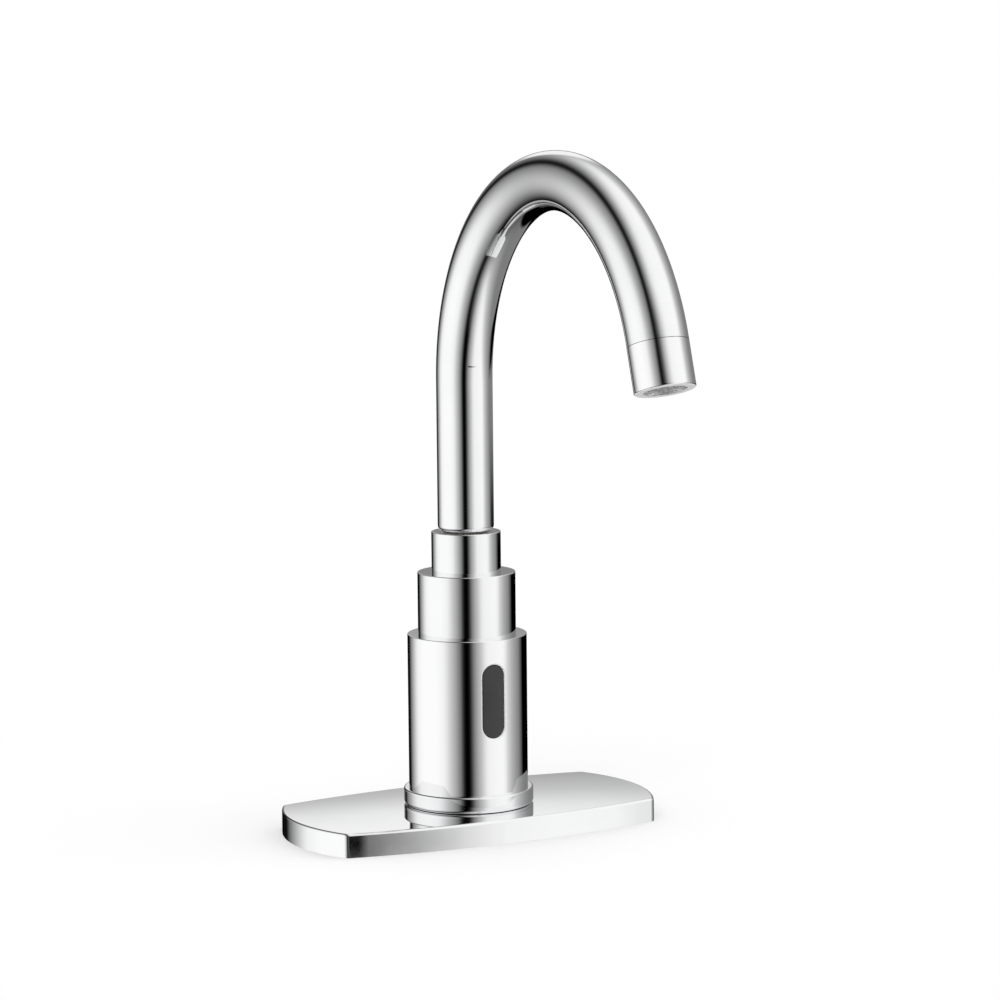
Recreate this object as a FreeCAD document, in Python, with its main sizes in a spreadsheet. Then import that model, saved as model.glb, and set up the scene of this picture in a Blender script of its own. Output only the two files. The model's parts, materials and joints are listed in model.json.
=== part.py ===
import FreeCAD, Part
import math
import os
import re

import Sketcher

# A sensor tap with a swan-neck spout on a three-tier round body and a four-inch deck plate.
# Millimetres. The origin is on the body's axis at the deck. +Z is up, and the sensor and the
# spout face -Y. What lies below zero goes through the hole in the deck.

SIZES = {
    # deck plate and its gasket
    "plate_half_length": 79.8,
    "plate_half_width": 40.0,
    "plate_side_bow": 7.7,
    "plate_end_bow": 8.6,
    "plate_height": 10.0,
    "plate_wall": 2.5,
    "plate_corner": 3.0,
    "plate_arris": 1.0,
    "plate_rib": 2.5,
    "gasket_thickness": 2.0,
    "gasket_inset": 0.4,
    # ring that the body stands on
    "ring_step": 2.25,
    "ring_height": 7.0,
    "ring_top_round": 0.8,
    "ring_foot_round": 1.6,
    "seal_radius": 22.0,
    "seal_width": 2.0,
    "seal_depth": 1.6,
    # the three visible tiers
    "shell_radius": 25.0,
    "shell_height": 65.0,
    "shell_wall": 2.5,
    "shell_roof": 3.0,
    "middle_radius": 20.5,
    "middle_height": 26.0,
    "middle_wall": 3.0,
    "middle_roof": 3.5,
    "upper_radius": 14.5,
    "upper_height": 17.0,
    "tier_arris": 0.4,
    # clearances
    "part_gap": 0.3,
    "slip_gap": 0.08,
    "seat_gap": 0.05,
    # how far a cutting shape runs past the face that it opens
    "overcut": 1.0,
    # threaded shank and the clamp below the deck
    "shank_radius": 16.5,
    "shank_length": 52.0,
    "shank_hole_gap": 0.5,
    "thread_pitch": 2.0,
    "cartridge_bore": 8.0,
    "cartridge_depth": 27.0,
    "feed_bore": 7.0,
    "feed_roof": 4.0,
    "deck_thickness": 20.0,
    "washer_radius": 30.0,
    "rubber_thickness": 3.0,
    "steel_thickness": 2.0,
    "nut_flats": 46.0,
    "nut_height": 8.0,
    "nut_crown": 1.6,
    # inlet
    "inlet_thread_radius": 10.48,
    "inlet_thread_length": 14.0,
    "inlet_flats": 27.0,
    "inlet_hex_height": 8.0,
    "inlet_spigot": 7.0,
    "inlet_bore": 6.0,
    "strainer_radius": 5.0,
    "strainer_wall": 0.5,
    "strainer_depth": 14.0,
    "strainer_rim": 1.0,
    "strainer_slot": 0.8,
    "strainer_slots": 8,
    # check valve
    "check_wall": 1.4,
    "check_floor": 2.0,
    "check_port": 3.4,
    "poppet_radius": 5.0,
    "poppet_thickness": 2.0,
    "poppet_stem": 1.1,
    "check_window_radius": 1.6,
    "check_window_offset": 4.0,
    "check_wire": 0.3,
    "check_spring_radius": 2.4,
    "check_turns": 6,
    # from the shank's flange to the water joint under the roof
    "inside_height": 45.0,
    # manifold with the valve chamber
    "manifold_gap": 0.7,
    "manifold_height": 21.0,
    "feed_radius": 2.8,
    "feed_offset": 7.85,
    "chamber_wall": 1.6,
    "valve_angle": 20.0,
    "chamber_radius": 8.5,
    "chamber_depth": 13.0,
    "seat_radius": 4.6,
    "seat_bore": 3.2,
    "seat_height": 5.0,
    "drain_level": 4.5,
    "drain_radius": 2.6,
    "plug_length": 2.5,
    # riser tube
    "riser_margin": 1.3,
    "riser_radius": 4.0,
    "riser_wall": 0.8,
    "riser_boss": 6.0,
    "riser_socket": 6.0,
    # servo piston
    "piston_thickness": 5.0,
    "piston_pad": 1.2,
    "piston_pad_radius": 5.6,
    "piston_pocket": 3.0,
    "piston_spring_radius": 4.4,
    "piston_wire": 0.35,
    "piston_turns": 4,
    "bleed_radius": 0.5,
    # bonnet and solenoid
    "bonnet_radius": 10.0,
    "bonnet_thickness": 3.5,
    "bonnet_recess": 1.0,
    "bonnet_ear": 10.9,
    "bonnet_ear_radius": 2.9,
    "pilot_radius": 0.6,
    "bonnet_screw_radius": 1.2,
    "bonnet_screw_length": 9.0,
    "screw_head_radius": 2.2,
    "screw_head_height": 1.3,
    "core_radius": 4.6,
    "core_wall": 0.5,
    "core_height": 16.2,
    "pole_length": 5.5,
    "pole_stud": 2.0,
    "pole_stud_length": 3.7,
    "plunger_length": 9.0,
    "plunger_tip": 0.7,
    "plunger_tip_radius": 1.8,
    "plunger_pocket": 5.0,
    "plunger_spring_radius": 1.9,
    "plunger_wire": 0.25,
    "plunger_turns": 6,
    "bobbin_wall": 0.7,
    "bobbin_flange": 8.8,
    "bobbin_flange_thickness": 0.8,
    "bobbin_height": 13.2,
    "winding_margin": 0.5,
    "magnet_height": 1.5,
    "yoke_thickness": 1.4,
    "yoke_half_width": 6.0,
    "yoke_reach": 9.3,
    "coil_nut_flats": 7.0,
    "coil_nut_height": 1.9,
    # water joint under the collars
    "socket_thickness": 9.0,
    "socket_gap": 0.6,
    "socket_channel": 2.5,
    "socket_channel_level": 5.6,
    "socket_tube": 13.5,
    "socket_rise": 4.0,
    "socket_well": 6.0,
    "riser_entry": 2.9,
    # upper collar, spout bearing and its stop
    "collar_spigot": 11.3,
    "collar_spigot_length": 9.5,
    "bush_thickness": 1.3,
    "bush_length": 17.0,
    "spindle_radius": 9.0,
    "spindle_bore": 6.5,
    "spindle_length": 36.5,
    "spindle_shoulder": 12.5,
    "ring_section": 0.95,
    "ring_groove_width": 2.2,
    "ring_pitch": 4.0,
    "ring_margin": 3.0,
    "stop_level": 9.0,
    "stop_screw_radius": 2.0,
    "stop_tip_radius": 1.5,
    "stop_key_flats": 2.0,
    "stop_key_depth": 1.5,
    "stop_groove_depth": 1.4,
    "stop_groove_height": 4.4,
    "swivel_half_range": 60.0,
    "stop_lead": 13.0,
    # spout
    "tube_radius": 11.75,
    "tube_wall": 1.25,
    "tube_lip": 2.5,
    "tube_round": 2.3,
    "riser_height": 64.0,
    "bend_radius": 83.0,
    "bend_angle": 162.5,
    "tail_length": 1.0,
    # outlet
    "nipple_radius": 9.9,
    "nipple_length": 8.0,
    "nipple_root": 6.0,
    "nipple_taper": 0.4,
    "nipple_bore": 7.5,
    "aerator_length": 18.0,
    "aerator_gap": 0.2,
    "aerator_bore": 9.2,
    "aerator_mouth": 8.4,
    "aerator_lip": 1.2,
    "aerator_round": 0.8,
    "aerator_washer": 1.5,
    "regulator_thickness": 1.6,
    "regulator_hole": 1.9,
    "screen_thickness": 0.6,
    "screen_hole": 0.9,
    "screen_rings": 3,
    "screen_reach": 7.5,
    "cartridge_hole": 1.1,
    "cartridge_reach": 5.1,
    # sensor window and electronics
    "window_width": 10.2,
    "window_height": 31.0,
    "window_drop": 25.5,
    "window_bevel": 0.5,
    "window_recess": 0.6,
    "window_seam": 0.35,
    "lens_flange": 1.8,
    "lens_flange_thickness": 1.7,
    "lens_seat": 1.6,
    "holder_half_width": 8.5,
    "holder_half_height": 18.5,
    "holder_wall": 1.5,
    "holder_depth": 9.8,
    "holder_gap": 0.4,
    "board_thickness": 1.2,
    "board_stand": 1.1,
    "board_screw_radius": 0.9,
    "board_screw_head": 1.7,
    "board_screw_margin": 2.4,
    "eye_radius": 2.5,
    "eye_spacing": 15.0,
    "eye_length": 5.3,
    "eye_collar": 0.4,
    "eye_collar_height": 1.0,
    "chip_width": 5.0,
    "chip_depth": 2.5,
    "chip_height": 1.0,
    # battery
    "battery_radius": 8.5,
    "battery_length": 33.5,
    "battery_nub_radius": 3.2,
    "battery_nub": 1.0,
    "battery_margin": 1.15,
    "battery_angle": 13.5,
    "cradle_wall": 1.0,
    "cradle_floor": 2.0,
    "contact_thickness": 0.6,
    "contact_radius": 5.0,
    "bore_clearance": 0.4,
    # leads
    "lead_radius": 0.7,
}

doc = FreeCAD.newDocument("sensor_tap")
sheet = doc.addObject("Spreadsheet::Sheet", "sizes")
for row, (alias, size) in enumerate(SIZES.items(), 1):
    sheet.set(f"A{row}", alias.replace("_", " "))
    sheet.set(f"B{row}", str(size))
    sheet.setAlias(f"B{row}", alias)
doc.recompute()

# Levels, radii and places that several pieces share, as expressions on the sheet
RING_TOP = "(plate_height + ring_height)"
SHELL_TOP = f"({RING_TOP} + shell_height)"
ROOF_UNDER = f"({SHELL_TOP} - shell_roof)"
MIDDLE_TOP = f"({SHELL_TOP} + middle_height)"
UPPER_TOP = f"({MIDDLE_TOP} + upper_height)"
WINDOW_LEVEL = f"({SHELL_TOP} - window_drop)"
SHANK_FOOT = "(0 - shank_length)"
SOCKET_BASE = f"({ROOF_UNDER} - socket_thickness)"
FLANGE_TOP = f"({SOCKET_BASE} - inside_height)"
MANIFOLD_TOP = f"({FLANGE_TOP} + manifold_height)"
CHAMBER_FLOOR = f"({MANIFOLD_TOP} - chamber_depth)"
SEAT_TOP = f"({CHAMBER_FLOOR} + seat_height)"
BONNET_TOP = f"({MANIFOLD_TOP} + bonnet_thickness)"
SPOUT_FOOT = f"({UPPER_TOP} + part_gap)"
SPINDLE_FOOT = f"({SPOUT_FOOT} + tube_lip - spindle_length)"

RING_RADIUS = "(shell_radius + ring_step)"
SHELL_BORE = "(shell_radius - shell_wall)"
SHANK_HOLE = "(shank_radius + shank_hole_gap)"
FLANGE_RADIUS = f"({SHELL_BORE} - part_gap)"
SPINDLE_HOLE = "(spindle_radius + slip_gap)"
MANIFOLD_RADIUS = f"({SHELL_BORE} - manifold_gap)"
SOCKET_RADIUS = f"({SHELL_BORE} - socket_gap)"
RISER_Y = f"({MANIFOLD_RADIUS} - riser_margin - riser_radius)"
VALVE_REACH = f"({MANIFOLD_RADIUS} - chamber_wall - chamber_radius)"
VALVE_X = f"({VALVE_REACH} * cos(valve_angle * 1 deg))"
VALVE_Y = f"({VALVE_REACH} * sin(valve_angle * 1 deg))"
FEED_X = f"(({VALVE_REACH} - feed_offset) * cos(valve_angle * 1 deg))"
FEED_Y = f"(({VALVE_REACH} - feed_offset) * sin(valve_angle * 1 deg))"
BATTERY_REACH = f"({SHELL_BORE} - battery_margin - battery_radius)"
BATTERY_X = f"(0 - {BATTERY_REACH} * cos(battery_angle * 1 deg))"
BATTERY_Y = f"({BATTERY_REACH} * sin(battery_angle * 1 deg))"
CRADLE_RADIUS = "(battery_radius + part_gap + cradle_wall)"
LENS_FRONT = f"(lens_seat - {SHELL_BORE})"
LENS_BACK = f"({LENS_FRONT} + lens_flange_thickness)"
HOLDER_BACK = f"({LENS_BACK} + holder_depth)"
BOARD_BACK = f"({HOLDER_BACK} - holder_wall - board_stand)"
BOARD_FRONT = f"({BOARD_BACK} - board_thickness)"


def bound(text):
    """Points every size in an expression at its cell in the sheet."""
    return re.sub(r"[a-z][a-z_]*", lambda m: f"sizes.{m[0]}" if m[0] in SIZES else m[0], text)


def bind(thing, **properties):
    """Ties an object's properties to expressions on the sheet."""
    for name, text in properties.items():
        thing.setExpression(name, bound(text))
    return thing


def place(piece, x="0", y="0", z="0", axis=(0, 0, 1), angle="0"):
    """Ties a piece's place, and its turn in degrees about an axis, to the sheet."""
    turn = f"rotation(vector({axis[0]}; {axis[1]}; {axis[2]}); ({angle}) * 1 deg)"
    piece.setExpression("Placement", bound(f"placement(vector({x}; {y}; {z}); {turn})"))
    return piece


def cylinder(name, radius, height, x="0", y="0", z="0", **turn):
    return place(bind(doc.addObject("Part::Cylinder", name), Radius=radius, Height=height), x, y, z, **turn)


def box(name, low, high, **turn):
    """A box between two corners, whose coordinates are expressions."""
    sides = dict(zip(("Length", "Width", "Height"), (f"({b}) - ({a})" for a, b in zip(low, high))))
    return place(bind(doc.addObject("Part::Box", name), **sides), *low, **turn)


def hexagon(name, flats, height, **spot):
    prism = doc.addObject("Part::Prism", name)
    prism.Polygon = 6
    return place(bind(prism, Circumradius=f"{flats} / 2 / cos(30 deg)", Height=height), **spot)


def torus(name, mean, section, **spot):
    return place(bind(doc.addObject("Part::Torus", name), Radius1=mean, Radius2=section), **spot)


def joined(name, *shapes):
    fuse = doc.addObject("Part::MultiFuse", name)
    fuse.Shapes = list(shapes)
    return fuse


def shared(name, *shapes):
    common = doc.addObject("Part::MultiCommon", name)
    common.Shapes = list(shapes)
    return common


def less(name, base, *tools):
    cut = doc.addObject("Part::Cut", name)
    cut.Base = base
    cut.Tool = tools[0] if len(tools) == 1 else joined(name + "_tools", *tools)
    return cut


def group(name, *shapes):
    """Separate solids under one name."""
    compound = doc.addObject("Part::Compound", name)
    compound.Links = list(shapes)
    return compound


def number(text):
    """The present value of an expression on the sheet."""
    probe = doc.addObject("App::VarSet", "probe")
    probe.addProperty("App::PropertyFloat", "Result")
    probe.setExpression("Result", bound(text))
    probe.recompute()
    result = probe.Result
    doc.removeObject(probe.Name)
    return result


def sketch_on(body, role, name):
    """A sketch on one of the body's own origin planes."""
    sketch = body.newObject("Sketcher::SketchObject", name)
    plane = next(f for f in body.Origin.OriginFeatures if f.Role == role)
    sketch.AttachmentSupport = [(plane, "")]
    sketch.MapMode = "FlatFace"
    return sketch


def pin_point(sketch, edge, end, x, y):
    """Fixes one end of a sketch edge at a point whose coordinates are expressions."""
    for kind, text, axis in (("DistanceX", x, -2), ("DistanceY", y, -1)):
        if text == "0":
            sketch.addConstraint(Sketcher.Constraint("PointOnObject", edge, end, axis))
        else:
            index = sketch.addConstraint(Sketcher.Constraint(kind, edge, end, number(text)))
            sketch.setExpression(f"Constraints[{index}]", bound(text))


def circle_in(sketch, index, radius, x=0):
    """Adds a circle whose radius is an expression. Its centre is left free."""
    centre = FreeCAD.Vector(x, 0, 0)
    sketch.addGeometry(Part.Circle(centre, FreeCAD.Vector(0, 0, 1), number(radius)), False)
    row = sketch.addConstraint(Sketcher.Constraint("Radius", index, number(radius)))
    sketch.setExpression(f"Constraints[{row}]", bound(radius))


def turned(name, outline):
    """A body turned about Z from a closed outline of (radius, height) corners."""
    body = doc.addObject("PartDesign::Body", name)
    sketch = sketch_on(body, "XZ_Plane", name + "_outline")
    corners = [FreeCAD.Vector(number(r), number(h), 0) for r, h in outline]
    for start, end in zip(corners, corners[1:] + corners[:1]):
        sketch.addGeometry(Part.LineSegment(start, end), False)
    count = len(outline)
    for edge, (radius, height) in enumerate(outline):
        sketch.addConstraint(Sketcher.Constraint("Coincident", edge, 2, (edge + 1) % count, 1))
        pin_point(sketch, edge, 1, radius, height)
    turn = body.newObject("PartDesign::Revolution", name + "_turn")
    turn.Profile = sketch
    turn.ReferenceAxis = (sketch, ["V_Axis"])
    turn.Angle = 360
    doc.recompute()
    return body


def tube(name, outer, inner, low, high):
    return turned(name, [(inner, low), (outer, low), (outer, high), (inner, high)])


def disc(name, radius, low, high):
    return turned(name, [("0", low), (radius, low), (radius, high), ("0", high)])


def ring_edges(shape, radius, level, hair=1e-3):
    """Names of the full circles of a radius at a level."""
    found = []
    for index, edge in enumerate(shape.Edges, 1):
        curve = edge.Curve
        if isinstance(curve, Part.Circle) and abs(curve.Radius - radius) < hair:
            if abs(curve.Center.z - level) < hair:
                found.append(f"Edge{index}")
    return found


def dress(body, kind, size, edges):
    """Adds a Fillet or a Chamfer to a body's last feature, on the edges named."""
    base = body.Tip
    feature = body.newObject(f"PartDesign::{kind}", f"{body.Name}_{kind.lower()}")
    feature.Base = (base, edges)
    bind(feature, **{"Radius" if kind == "Fillet" else "Size": size})
    doc.recompute()
    return body


def dress_rim(body, kind, size, radius, level):
    """Rounds or chamfers a turned body's circle of a radius at a level."""
    return dress(body, kind, size, ring_edges(body.Shape, number(radius), number(level)))


def bowed_prism(name, inset, level, height, corner):
    """A prism on the plate's outline: four arcs, bowed outwards, drawn in by an inset."""
    body = doc.addObject("PartDesign::Body", name)
    sketch = sketch_on(body, "XY_Plane", name + "_outline")
    half_x, half_y = f"(plate_half_length - {inset})", f"(plate_half_width - {inset})"
    end_x, end_y = f"({half_x} - plate_end_bow)", f"({half_y} - plate_side_bow)"
    side_radius = f"(({end_x} * {end_x} + plate_side_bow * plate_side_bow) / (2 * plate_side_bow))"
    end_radius = f"(({end_y} * {end_y} + plate_end_bow * plate_end_bow) / (2 * plate_end_bow))"
    hx, hy, ex, ey = (number(text) for text in (half_x, half_y, end_x, end_y))
    middles = [(0, -hy), (hx, 0), (0, hy), (-hx, 0)]
    corners = [(-ex, -ey), (ex, -ey), (ex, ey), (-ex, ey)]
    for index, middle in enumerate(middles):
        start, end = corners[index], corners[(index + 1) % 4]
        points = [FreeCAD.Vector(x, y, 0) for x, y in (start, middle, end)]
        sketch.addGeometry(Part.Arc(*points), False)
    west, south = f"0 - {end_x}", f"0 - {end_y}"
    ends = [(west, south), (end_x, south), (end_x, end_y), (west, end_y)]
    for index, (x, y) in enumerate(ends):
        sketch.addConstraint(Sketcher.Constraint("Coincident", index, 2, (index + 1) % 4, 1))
        pin_point(sketch, index, 1, x, y)
    for index, radius in enumerate((side_radius, end_radius, side_radius, end_radius)):
        row = sketch.addConstraint(Sketcher.Constraint("Radius", index, number(radius)))
        sketch.setExpression(f"Constraints[{row}]", bound(radius))
    pad = body.newObject("PartDesign::Pad", name + "_pad")
    pad.Profile = sketch
    bind(pad, Length=height)
    place(body, z=level)
    doc.recompute()
    upright = []
    for index, edge in enumerate(pad.Shape.Edges, 1):
        a, b = (vertex.Point for vertex in edge.Vertexes)
        if abs(a.z - b.z) > 1e-3:
            upright.append(f"Edge{index}")
    return dress(body, "Fillet", corner, upright)


def stadium(name, half_width, half_height, level, front, back):
    """An upright slot shape with round ends, from y = front to y = back."""
    depth = f"({back}) - ({front})"
    straight = f"({half_height} - {half_width})"
    middle = box(name + "_middle", (f"0 - {half_width}", front, f"{level} - {straight}"),
                 (half_width, back, f"{level} + {straight}"))
    ends = [cylinder(f"{name}_{side}", half_width, depth, y=back, z=f"{level} {sign} {straight}",
                     axis=(1, 0, 0), angle="90")
            for side, sign in (("top", "+"), ("foot", "-"))]
    return joined(name, middle, *ends)


def coil(name, mean, wire, low, height, turns, x="0", y="0"):
    """A compression spring: a round wire on a helix between two levels."""
    body = doc.addObject("PartDesign::Body", name)
    sketch = sketch_on(body, "XZ_Plane", name + "_wire")
    circle_in(sketch, 0, wire, number(mean))
    pin_point(sketch, 0, 3, mean, "0")
    doc.recompute()
    helix = body.newObject("PartDesign::AdditiveHelix", name + "_helix")
    helix.Profile = sketch
    helix.ReferenceAxis = (sketch, ["V_Axis"])
    helix.Mode = 0
    bind(helix, Pitch=f"(({height}) - 2 * {wire}) / {turns}", Height=f"({height}) - 2 * {wire}")
    place(body, x, y, f"{low} + {wire}")
    doc.recompute()
    return body


def screw(name, shank, length, head, head_height, **spot):
    """A pan-head screw, its head's underside at the place given, its shank downwards."""
    tip = f"0 - ({length})"
    return place(turned(name, [("0", tip), (shank, tip), (shank, "0"), (head, "0"), (head, head_height),
                               ("0", head_height)]), **spot)


PIECES = {}


def keep(name, piece):
    """Names a finished sub-part."""
    piece.Label = name
    PIECES[name] = piece
    return piece


# --- deck plate ---------------------------------------------------------------------------

def make_deck_plate():
    """A shallow bowed cover on four ribs and a hub, open below, with the shank's hole."""
    solid = bowed_prism("plate_block", "0", "0", "plate_height", "plate_corner")
    arris = [f"Edge{i}" for i, e in enumerate(solid.Shape.Edges, 1)
             if all(abs(v.Z - number("plate_height")) < 1e-3 for v in e.Vertexes)]
    dress(solid, "Fillet", "plate_arris", arris)
    under = "plate_height - plate_wall"
    hollow = bowed_prism("plate_hollow", "plate_wall", "0", under, "(plate_corner - plate_wall / 2)")
    hub = cylinder("plate_hub_disc", "shell_radius", f"{under} - gasket_thickness", z="gasket_thickness")
    long_rib = box("plate_long_rib", ("0 - plate_half_length", "0 - plate_rib / 2", "gasket_thickness"),
                   ("plate_half_length", "plate_rib / 2", under))
    cross_rib = box("plate_cross_rib", ("0 - plate_rib / 2", "0 - plate_half_width", "gasket_thickness"),
                    ("plate_rib / 2", "plate_half_width", under))
    cavity = less("plate_cavity", hollow, hub, long_rib, cross_rib)
    hole = cylinder("plate_hole", SHANK_HOLE, "plate_height", z="0")
    keep("deck_plate", less("deck_plate_cut", solid, cavity, hole))


def make_plate_gasket():
    sheet_of_foam = bowed_prism("gasket_sheet", "(plate_wall + gasket_inset)", "0", "gasket_thickness",
                                "(plate_corner - plate_wall / 2)")
    hole = cylinder("gasket_hole", SHANK_HOLE, "gasket_thickness")
    keep("plate_gasket", less("gasket_cut", sheet_of_foam, hole))


# --- body -------------------------------------------------------------------------------------

def make_base_ring():
    """The ring under the body, with a seal in a groove on its foot."""
    inner, outer = "(seal_radius - seal_width / 2 - seat_gap)", "(seal_radius + seal_width / 2 + seat_gap)"
    roof = "(plate_height + seal_depth + seat_gap)"
    ring = turned("base_ring", [(SHANK_HOLE, "plate_height"), (inner, "plate_height"), (inner, roof),
                                (outer, roof), (outer, "plate_height"), (RING_RADIUS, "plate_height"),
                                (RING_RADIUS, RING_TOP), (SHANK_HOLE, RING_TOP)])
    dress_rim(ring, "Fillet", "ring_top_round", RING_RADIUS, RING_TOP)
    keep("base_ring", dress_rim(ring, "Fillet", "ring_foot_round", RING_RADIUS, "plate_height"))
    keep("ring_seal", tube("ring_seal", "(seal_radius + seal_width / 2)", "(seal_radius - seal_width / 2)",
                           "plate_height", "plate_height + seal_depth"))


def make_body_shell():
    """The lowest tier: a tube with a roof, and the bevelled slot for the sensor window."""
    blank = turned("shell_blank", [(SHELL_BORE, RING_TOP), ("shell_radius", RING_TOP),
                                   ("shell_radius", SHELL_TOP), ("(socket_tube + part_gap)", SHELL_TOP),
                                   ("(socket_tube + part_gap)", ROOF_UNDER), (SHELL_BORE, ROOF_UNDER)])
    dress_rim(blank, "Fillet", "tier_arris", "shell_radius", SHELL_TOP)
    slot = stadium("shell_slot", "window_width / 2", "window_height / 2", WINDOW_LEVEL,
                   "0 - shell_radius - overcut", "0 - shell_radius / 2")
    cut = less("shell_cut", blank, slot)
    doc.recompute()
    radius, reach, size = number("shell_radius"), number("window_height / 2"), number("window_bevel")
    rim = []
    for index, edge in enumerate(cut.Shape.Edges, 1):
        ends = [v.Point for v in edge.Vertexes]
        if all(abs(math.hypot(p.x, p.y) - radius) < 1e-3 and p.y < -reach / 2 for p in ends):
            if all(abs(p.z - number(WINDOW_LEVEL)) < reach + size for p in ends):
                rim.append((index, size, size))
    bevel = doc.addObject("Part::Chamfer", "shell_bevel")
    bevel.Base = cut
    bevel.Edges = rim
    keep("body_shell", bevel)


def make_collars():
    """The middle and upper tiers. The upper one screws into the water joint and clamps the rest."""
    bore = "(middle_radius - middle_wall)"
    roof = f"({MIDDLE_TOP} - middle_roof)"
    hole = "(collar_spigot + part_gap)"
    middle = turned("middle_collar", [
        (bore, SHELL_TOP), ("middle_radius", SHELL_TOP), ("middle_radius", MIDDLE_TOP),
        (hole, MIDDLE_TOP), (hole, roof), (bore, roof)])
    keep("middle_collar", dress_rim(middle, "Fillet", "tier_arris", "middle_radius", MIDDLE_TOP))
    bush_bore = "(spindle_radius + slip_gap + bush_thickness)"
    bush_foot = f"({UPPER_TOP} - bush_length)"
    foot = f"({MIDDLE_TOP} - collar_spigot_length)"
    throat = "(spindle_radius + part_gap)"
    upper = turned("upper_blank", [(throat, foot), ("collar_spigot", foot), ("collar_spigot", MIDDLE_TOP),
                                   ("upper_radius", MIDDLE_TOP), ("upper_radius", UPPER_TOP),
                                   (bush_bore, UPPER_TOP), (bush_bore, bush_foot), (throat, bush_foot)])
    dress_rim(upper, "Fillet", "tier_arris", "upper_radius", UPPER_TOP)
    level = f"({MIDDLE_TOP} + stop_level)"
    thread = cylinder("stop_thread", "stop_screw_radius", "upper_radius", y="upper_radius + overcut", z=level,
                      axis=(1, 0, 0), angle="90")
    keep("upper_collar", less("upper_cut", upper, thread))
    sleeve = tube("bush_sleeve", "(spindle_radius + slip_gap + bush_thickness - seat_gap)", SPINDLE_HOLE,
                  bush_foot, f"({UPPER_TOP} - seat_gap)")
    port = cylinder("bush_port", "(stop_screw_radius + part_gap)", "upper_radius", y="upper_radius", z=level,
                    axis=(1, 0, 0), angle="90")
    keep("spout_bush", less("bush_cut", sleeve, port))
    tip_end = "(spindle_radius - stop_groove_depth + part_gap)"
    shoulder = "(spindle_radius + part_gap)"
    outer_end = "(upper_radius - part_gap)"
    stop = turned("stop_screw", [("0", tip_end), ("stop_tip_radius", tip_end), ("stop_tip_radius", shoulder),
                                 ("(stop_screw_radius - seat_gap)", shoulder),
                                 ("(stop_screw_radius - seat_gap)", outer_end), ("0", outer_end)])
    key = hexagon("stop_key", "stop_key_flats", "stop_key_depth + overcut", z=f"{outer_end} - stop_key_depth")
    keep("stop_screw", place(less("stop_cut", stop, key), z=level, axis=(1, 0, 0), angle="-90"))


def make_mounting_shank():
    """The threaded shank and the flange that the manifold stands on, with the inlet bore."""
    step = f"({SHANK_FOOT} + cartridge_depth)"
    feed_top = f"({FLANGE_TOP} - feed_roof)"
    blank = turned("shank_blank", [("cartridge_bore", SHANK_FOOT), ("shank_radius", SHANK_FOOT),
                                   ("shank_radius", RING_TOP), (FLANGE_RADIUS, RING_TOP),
                                   (FLANGE_RADIUS, FLANGE_TOP), ("0", FLANGE_TOP), ("0", feed_top),
                                   ("feed_bore", feed_top), ("feed_bore", step), ("cartridge_bore", step)])
    dress_rim(blank, "Chamfer", "thread_pitch / 2", "shank_radius", SHANK_FOOT)
    port = cylinder("shank_port", "feed_radius", "feed_roof + 2 * overcut", FEED_X, FEED_Y,
                    f"{feed_top} - overcut")
    keep("mounting_shank", less("shank_cut", blank, port))


def make_clamp():
    """The rubber and steel washers and the nut below the deck."""
    rubber_foot = "(0 - deck_thickness - rubber_thickness)"
    steel_foot = f"({rubber_foot} - steel_thickness)"
    for name, low, high in (("rubber_washer", rubber_foot, "0 - deck_thickness"),
                            ("steel_washer", steel_foot, rubber_foot)):
        keep(name, tube(name, "washer_radius", SHANK_HOLE, low, high))
    nut_foot = f"({steel_foot} - nut_height)"
    flats, corners = "(nut_flats / 2)", "(nut_flats / 2 + nut_crown * 2)"
    blank = hexagon("nut_blank", "nut_flats", "nut_height", z=nut_foot)
    crown = turned("nut_crowning", [
        ("0", nut_foot), (flats, nut_foot), (corners, f"{nut_foot} + nut_crown"),
        (corners, f"{steel_foot} - nut_crown"), (flats, steel_foot), ("0", steel_foot)])
    thread = cylinder("nut_thread", "(shank_radius + slip_gap)", "nut_height + 2 * overcut",
                      z=f"{nut_foot} - overcut")
    keep("mounting_nut", less("nut_cut", shared("nut_body", blank, crown), thread))


# --- inlet --------------------------------------------------------------------------------------

SPIGOT_TOP = f"({SHANK_FOOT} + inlet_spigot)"
RIM_TOP = f"({SPIGOT_TOP} + strainer_rim)"
CHECK_FOOT = f"({RIM_TOP} + part_gap)"
CHECK_TOP = f"({SHANK_FOOT} + cartridge_depth)"
CHECK_SEAT = f"({CHECK_FOOT} + check_floor)"
POPPET_TOP = f"({CHECK_SEAT} + poppet_thickness)"


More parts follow.
